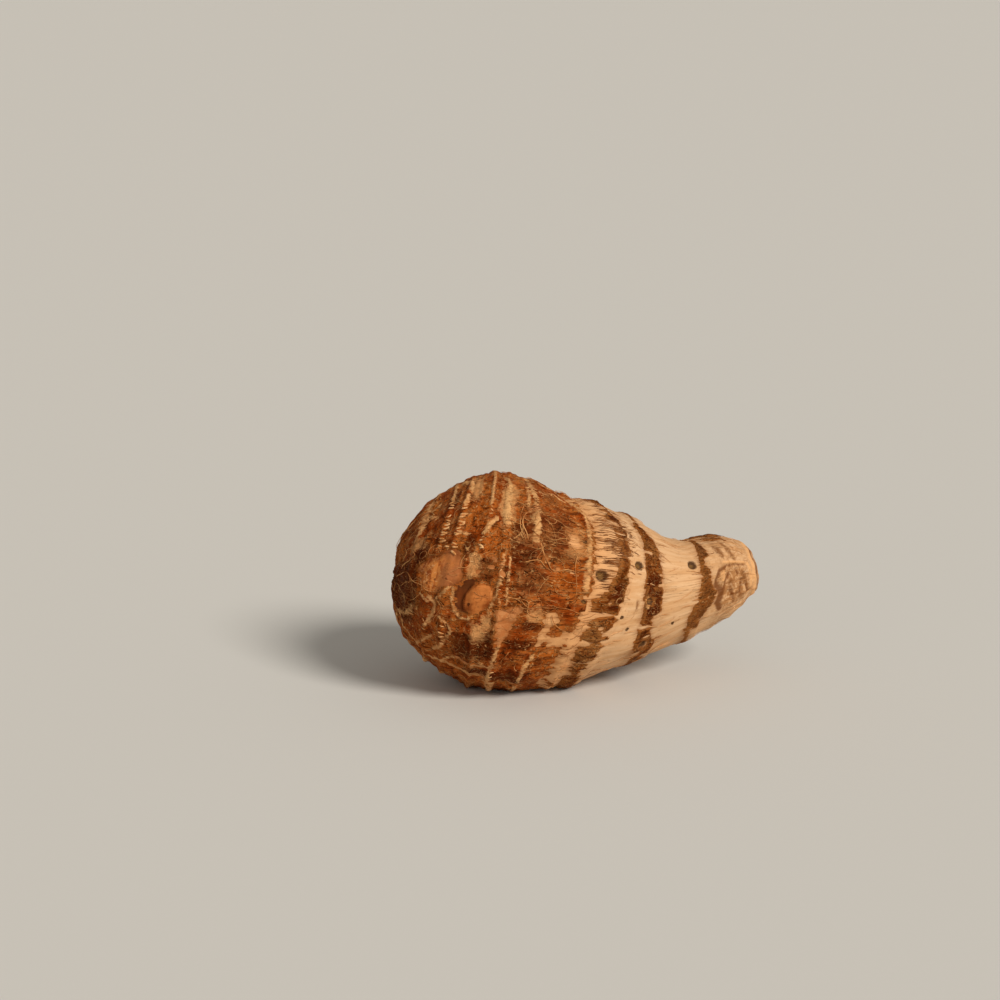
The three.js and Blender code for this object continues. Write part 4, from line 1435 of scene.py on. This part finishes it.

# %% [markdown]
# ## The flesh's material
#
# Every pattern of the flesh follows the corm, so its noise is read in coordinates rolled up from
# the ring place and the angle. Stretched along the corm, the noise gives streaks. The flesh is
# deeper in colour on the bulb, grey and wrinkled on leaf scars, and where bark starts it is stained
# and darkened by painted shade.
# Less its middle value of 0.5, a noise that is added to a distance makes an edge ragged.

# %% Colours and noises of the flesh
PALE_TAN, WARM_TAN = paint(213, 171, 128), paint(201, 153, 106)
BULB_TAN, STAIN = paint(214, 154, 98), paint(142, 78, 30)
RUBBED_ORANGE, BRIGHT_ORANGE = paint(152, 68, 14), paint(214, 134, 66)
CRACK_BROWN, SCAR_BROWN, GREY_TAN = paint(74, 30, 4), paint(84, 38, 6), paint(158, 106, 60)
RIDGE_TAN, OLIVE = paint(222, 166, 110), paint(106, 72, 28)
BUD_ORANGE, BUD_PALE = paint(142, 68, 20), paint(188, 112, 54)
CHEEK_BROWN, CREASE_BROWN, PIT_BROWN = paint(176, 106, 60), paint(106, 56, 18), paint(62, 32, 8)
SMUDGE_BROWN, CHEEK_EDGE_SHADE, HOLLOW_BROWN_AND_SHADE = paint(122, 74, 34), paint(112, 50, 12), paint(104, 46, 8)
DEEP_TAN = paint(172, 98, 46)

flesh = Finish("flesh").roll_up()
mottle = flesh.noise(7, 7, 4, 0.6, seed=3)
spots = flesh.noise(1.5, 1.5, 4, 0.65, seed=9)
streaks = flesh.noise(9, 0.55, 3, 0.6, seed=21)
broad = flesh.noise(16, 2, 4, 0.6, seed=33, distortion=0.3)
cover = flesh.field("cover")
print("flesh noises use", len(flesh.tree.nodes), "nodes")

# %% [markdown]
# Tan comes first: paler and warmer by broad noise, and deeper towards the crown. Leaf scars grey
# it, and near bark it is smudged, stained and darkened by painted shade.

# %% Tan flesh, wrinkled scars, stains and painted shade by the bark
tan = blend(broad.step(0.36, 0.66), PALE_TAN, WARM_TAN)
tan = blend((flesh.ring + (broad - 0.5) * 6).step(58, 44) * 0.8, tan, BULB_TAN)
deep = (flesh.ring + (mottle - 0.5) * 4).step(39, 34) * (spots.step(0.6, 0.4) * 0.3 + 0.35 + streaks * 0.4)
tan = blend(deep, tan, DEEP_TAN)
tan = blend(streaks.step(0.56, 0.76) * (0.2 + flesh.ring.step(52, 44) * 0.3), tan, STAIN)
shade = (flesh.field("shade") + (mottle - 0.5) * 4 + (spots - 0.5) * 2).step(-2.2, 1.6)
folds = flesh.noise(1.5, 3, 4, 0.6, seed=91, distortion=1.2)
tan = blend(shade * folds.step(0.3, 0.6) * 0.9, tan, GREY_TAN)
tan = blend(flesh.ring.step(84, 94) * folds.step(0.36, 0.64) * 0.5, tan, GREY_TAN)
near_bark = (cover + (streaks - 0.5) * 7 + (mottle - 0.5) * 7).step(-3, -0.4) * flesh.ring.step(57, 63)
colour = blend(near_bark * 0.24, tan, SMUDGE_BROWN)
# Next to the bark's edge the flesh darkens: partly a stain, partly painted shade under the bark's step.
colour = blend((cover + (streaks - 0.5) * 2.6 + (mottle - 0.5) * 1.6).step(-1.4, 0.3) * 0.6, colour, STAIN)
smudge = (flesh.field("smudge") + (spots - 0.5) * 4 + (mottle - 0.5) * 2).step(-0.9, 1.1)
colour = blend(smudge * 0.85, colour, SMUDGE_BROWN)
print("with the tan flesh:", len(flesh.tree.nodes))

# %% [markdown]
# Where the corm was rubbed, the flesh is orange: scratched, flecked, and duller towards the bulb.

# %% Rubbed orange flesh
right_lobe = (flesh.ring + (mottle - 0.5) * 3 + (spots - 0.5) * 3).step(13.6, 15.6)
scratches = flesh.noise(0.7, 2.2, 5, 0.72, seed=67)
orange = blend((scratches * 0.7 + mottle * 0.3).step(0.42, 0.56), RUBBED_ORANGE, BRIGHT_ORANGE)
orange = blend(right_lobe * 0.9, orange, blend(mottle.step(0.42, 0.6), CHEEK_BROWN, BUD_PALE))
orange = blend(flesh.noise(1.2, 1.1, 1, 0.4, seed=167).step(0.68, 0.74) * 0.7, orange, CRACK_BROWN)
flecks = flesh.noise(0.8, 0.7, 2, 0.6, seed=69).step(0.56, 0.64) * (1 - right_lobe)
orange = blend(flecks * 0.7, orange, RIDGE_TAN)
# Along the cheek's edge the orange darkens: partly its own colour, partly painted shade along its rim.
inside = flesh.field("orange") + (spots - 0.5) * 2 + (streaks - 0.5) * 2
orange = blend(inside.step(1.5, -0.4) * 0.75, orange, CHEEK_EDGE_SHADE)
rubbed = inside.step(-1.2, 0.2)
colour = blend(rubbed * 0.92, colour, orange)
print("with the orange flesh:", len(flesh.tree.nodes))

# %% [markdown]
# Ridges are pale and creases brown. Fine cracks run along the flesh, and small spots stain it.

# %% Ridges, creases and cracks
ridge = (flesh.field("ridge") + (spots - 0.5) * 1.2).step(-0.35, 0.25) * flesh.ring.step(48, 60)
colour = blend(ridge * 0.7, colour, RIDGE_TAN)
crease = (flesh.field("crease") + (spots - 0.5) * 1.4 + (mottle - 0.5) * 1.2).step(-0.6, 0.5)
colour = blend(crease * 0.85, colour, CREASE_BROWN)
cracks = flesh.lines(9, 0.7, 0.014, seed=41, detail=1) * flesh.noise(6, 5, 1, seed=47).step(0.54, 0.68)
colour = blend(cracks * (0.34 - rubbed * 0.1), colour, SMUDGE_BROWN)
colour = blend(spots.step(0.58, 0.72) * 0.45, colour, STAIN)
print("with ridges and cracks:", len(flesh.tree.nodes))

# %% [markdown]
# A bud is orange with pale patches, and paler on the bare neck. Its hollow is dark brown, partly
# its own colour and partly painted shade; a dark ring round the dome's foot and the dome's side
# next to the hollow are painted shade too. A root scar is olive inside a brown rim. Both tips of
# the corm are brown.

# %% Buds, scars and tips
bud_skin = blend((mottle * 0.6 + spots * 0.4).step(0.4, 0.6), BUD_ORANGE, BUD_PALE)
bud_skin = blend(flesh.noise(1.3, 1.3, 1, 0.4, seed=61).step(0.68, 0.74) * 0.85, bud_skin, CRACK_BROWN)
hollow = flesh.field("groove") + (spots - 0.5) * 1.4
bare_neck = flesh.ring.step(46, 52)
bud_skin = blend(bare_neck * 0.6, bud_skin, WARM_TAN)
# The socket's hollow is dark brown, partly its own colour and partly painted shade, darkest towards its
# middle.
hollow_skin_and_shade = blend(mottle.step(0.4, 0.6), HOLLOW_BROWN_AND_SHADE, SCAR_BROWN)
hollow_skin_and_shade = blend(hollow.step(0.8, 0.2), hollow_skin_and_shade, CRACK_BROWN)
hollow_skin_and_shade = blend(bare_neck * 0.6, hollow_skin_and_shade, STAIN)
colour = blend(hollow.step(-0.5, 0.2) * 0.95, colour, hollow_skin_and_shade)
# A dark ring round the dome's foot is painted shade where the dome meets its socket, weaker on the bare
# neck.
bud_edge = flesh.field("bud") + (spots - 0.5) * 1.2
colour = blend(bud_edge.step(-0.35, 0) * (0.55 - bare_neck * 0.35), colour, CRACK_BROWN)
# The dome's side next to the hollow is darkened: painted shade.
bud_skin = blend(bud_edge.step(1.2, 0.1) * hollow.step(-0.5, 0.2) * 0.8, bud_skin, CHEEK_EDGE_SHADE)
colour = blend(bud_edge.step(-0.1, 0.35), colour, bud_skin)
scar = flesh.field("scar")
pit = blend((scar + (spots - 0.5) * 1.4).step(0.5, 0.95), PIT_BROWN, OLIVE)
colour = blend((scar + (spots - 0.5) * 0.8).step(-0.1, 0.4) * 0.92, colour, pit)
colour = blend((flesh.ring + (spots - 0.5) * 2).step(3.5, 1) * 0.7, colour, SCAR_BROWN)
colour = blend((flesh.ring + (spots - 0.5) * 3).step(108.6, 110.4) * 0.4, colour, STAIN)
height = streaks * 0.5 + spots * 0.5 - cracks * 0.4
roughness = 0.72 - rubbed * 0.2 + (spots - 0.5) * 0.2
dress([skin], flesh.finish(colour, height, 0.2, roughness, 0.1))
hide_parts(CORM)
print("flesh nodes:", len(flesh.tree.nodes))

# %% [markdown]
# ## The bark's material
#
# Dry bark is reddish brown, with darker strips where it is thick and paler ones where its fibres
# lie bare. On the neck it is umber. Patches of it are warm, dark, pale or grey. One dark patch on
# the crown's end is painted shade, and one warm patch on its lower front is painted light.

# %% Colours of the bark
RED_BROWN, MID_BROWN, DARK_BROWN = paint(144, 61, 11), paint(176, 98, 38), paint(72, 22, 0)
GREY_BROWN, GREY_PALE, STRAW = paint(80, 39, 14), paint(130, 76, 38), paint(216, 160, 102)
BLACK_BROWN, UMBER, DEEP_UMBER = paint(40, 14, 1), paint(132, 66, 15), paint(86, 40, 5)
RIDGE_STRAW, SMOOTH_TAN, AMBER = paint(222, 168, 110), paint(208, 150, 94), paint(166, 83, 22)
THIN_BROWN, FADED_BROWN = paint(166, 104, 50), paint(148, 94, 46)

bark_finish = Finish("bark").roll_up()
mottle = bark_finish.noise(5, 5, 4, 0.62, seed=13)
patches = bark_finish.noise(2.2, 1.5, 4, 0.65, seed=17, distortion=0.5)
spots = bark_finish.noise(0.9, 0.7, 3, 0.65, seed=19)
streaks = bark_finish.noise(7, 0.5, 3, 0.62, seed=23)
cover = bark_finish.field("cover")
print("bark noises use", len(bark_finish.tree.nodes), "nodes")

# %% [markdown]
# The brown varies by noises of four sizes. Each kind of patch is laid over it in turn.

# %% Brown bark and its patches
on_neck = (bark_finish.ring + (mottle - 0.5) * 6).step(45, 49)
colour = blend(mottle.step(0.38, 0.64), RED_BROWN, MID_BROWN)
colour = blend(on_neck, colour, blend(mottle.step(0.36, 0.62), DEEP_UMBER, UMBER))
# Warm patches: mostly warmer bark; the one on the crown's lower front is painted light.
warm = (bark_finish.field("warm") + (mottle - 0.5) * 5 + (patches - 0.5) * 3).step(-1.2, 1.2)
colour = blend(warm * 0.7, colour, blend(on_neck, AMBER, FADED_BROWN))
colour = blend(patches.step(0.5, 0.36) * 0.7, colour, DARK_BROWN)
colour = blend(patches.step(0.56, 0.7) * 0.4, colour, STRAW)
colour = blend(streaks.step(0.54, 0.68) * 0.6, colour, DARK_BROWN)
colour = blend(bark_finish.ring.step(79, 82) * 0.34, colour, FADED_BROWN)
# Dark patches: mostly darker bark; the one on the crown's end is painted shade.
dark = (bark_finish.field("dark") + (mottle - 0.5) * 2 + (streaks - 0.5) * 1.2).step(-0.5, 0.6)
colour = blend(dark * 0.82, colour, DARK_BROWN)
pale = bark_finish.field("pale") + (mottle - 0.5) * 3 + (patches - 0.5) * 4
pale = (pale + (spots - 0.5) * 2).step(-0.8, 0.5)
colour = blend(pale * (patches.step(0.6, 0.44) * 0.24 + 0.62), colour, SMOOTH_TAN)
grey = (bark_finish.field("grey") + (mottle - 0.5) * 4 + (spots - 0.5) * 2).step(-0.8, 0.8)
grey_skin = blend(patches.step(0.42, 0.62), GREY_BROWN, GREY_PALE)
colour = blend(grey * 0.7, colour, grey_skin)
print("with the patches:", len(bark_finish.tree.nodes))

# %% [markdown]
# Straw fibres and curls lie in it, fine dark cracks cut it up, and ridges are straw. Over pale
# bark the cracks are weaker. The torn edge is thin and lighter.

# %% Fibres, cracks, ridges and the torn edge
curls = bark_finish.lines(1.9, 1.9, 0.022, seed=75, detail=1) * mottle.step(0.44, 0.56)
fibres = bark_finish.lines(5, 0.7, 0.02, seed=55) * patches.step(0.46, 0.58)
fibres = fibres.maths("MAXIMUM", curls)
colour = blend(fibres * 0.7, colour, STRAW)
ridge = (bark_finish.field("ridge") + (spots - 0.5) * 1.9 + (patches - 0.5)).step(-0.25, 0.25)
cracks = bark_finish.lines(2.6, 1.4, 0.022, seed=65) * spots.step(0.4, 0.55)
on_pale = pale.maths("MAXIMUM", ridge)
colour = blend(cracks * (0.75 - on_pale * 0.45), colour, blend(on_pale, BLACK_BROWN, UMBER))
colour = blend(spots.step(0.6, 0.72) * (0.6 - on_neck * 0.3), colour, STRAW)
colour = blend(spots.step(0.4, 0.3) * 0.5, colour, BLACK_BROWN)
colour = blend(ridge * (patches.step(0.62, 0.44) * 0.4 + 0.46), colour, RIDGE_STRAW)
thin = (cover + (streaks - 0.5) * 1.6 + (spots - 0.5)).step(0.8, 0.1)
colour = blend(thin * (on_neck * 0.25 + 0.3), colour, THIN_BROWN)
height = streaks * 0.8 + patches + spots * 0.5 + fibres * 0.5 - cracks * (0.8 - on_pale * 0.7)
roughness = 0.7 + (spots - 0.5) * 0.3
dress(bark, bark_finish.finish(colour, height, 0.6, roughness, 0.03))
print("bark nodes:", len(bark_finish.tree.nodes))

# %% [markdown]
# ## The fibres' materials
#
# A fibre is too thin for a pattern across it, so its colour changes from place to place along it.

# %% Paint the fibres
GRAIN_SIZE = 0.5
FIBRES = [  # name, pieces, two colours, patch size in mm
    ("straw_fibre", [beads, veins], paint(228, 178, 124), paint(186, 122, 64), 3),
    ("string_fibre", [laid_strings, strings, fringe], paint(220, 160, 98), paint(150, 84, 34), 6),
    ("hair_fibre", [hairs, mat], paint(178, 106, 48), paint(98, 42, 8), 4),
    ("sliver_bark", [slivers], paint(112, 58, 18), paint(168, 108, 56), 4),
]
for name, pieces, light, shade, size in FIBRES:
    fibre = Finish(name)
    spot = add_node(fibre.tree, "ShaderNodeTexCoord", output=3)
    patch = fibre.noise_at(spot, 1 / (size * MM), 3, 0.6)
    grain = fibre.noise_at(spot, 1 / (GRAIN_SIZE * MM), 2, 0.5)
    tone = blend((patch * 0.8 + grain * 0.2).step(0.36, 0.64), light, shade)
    dress(pieces, fibre.finish(tone, grain, 0.08, 0.7, 0.15))
print("fibre materials:", len(FIBRES))

# %% [markdown]
# ## Floor and light
#
# A plain pale floor runs past the horizon. A broad key sun, high on the right, gives soft
# shadows. A weak, very broad fill sun stands low on the front left, and an even pale sky fills
# what is left.

# %% Floor, suns and sky
FLOOR_SIZE = 60000
FLOOR_ROUGHNESS = 0.95
LIGHT_COLOUR = (1, 0.95, 0.87)
LIGHT_TARGET, LIGHT_DISTANCE = (0, 0, 30), 900
SKY_STRENGTH = 0.39
floor_points = np.array([[-1, -1, 0], [1, -1, 0], [1, 1, 0], [-1, 1, 0]]) * FLOOR_SIZE / 2
floor = make_mesh("floor", floor_points, [[0, 1, 2, 3]])
floor_finish = Finish("floor")
floor_finish.shader.inputs["Base Color"].default_value = paint(206, 204, 200)
floor_finish.shader.inputs["Roughness"].default_value = FLOOR_ROUGHNESS
floor.data.materials.append(floor_finish.material)

SUNS = [  # name, strength, width of the sun in degrees, azimuth, elevation
    ("key_sun", 2.95, 20, 35, 37),
    ("fill_sun", 0.35, 60, -30, 4),
]
for name, strength, width, azimuth, elevation in SUNS:
    light = bpy.data.lights.new(name, "SUN")
    light.energy = strength
    light.color = LIGHT_COLOUR
    light.angle = math.radians(width)
    aim(bpy.data.objects.new(name, light), LIGHT_TARGET, azimuth, elevation, LIGHT_DISTANCE)

world = bpy.data.worlds.new("studio")
world.use_nodes = True
sky = world.node_tree.nodes["Background"]
sky.inputs["Color"].default_value = paint(240, 234, 224)
sky.inputs["Strength"].default_value = SKY_STRENGTH
bpy.context.scene.world = world
bpy.context.scene.view_settings.view_transform = "Standard"
print("suns:", len(SUNS))

# %% [markdown] ## End
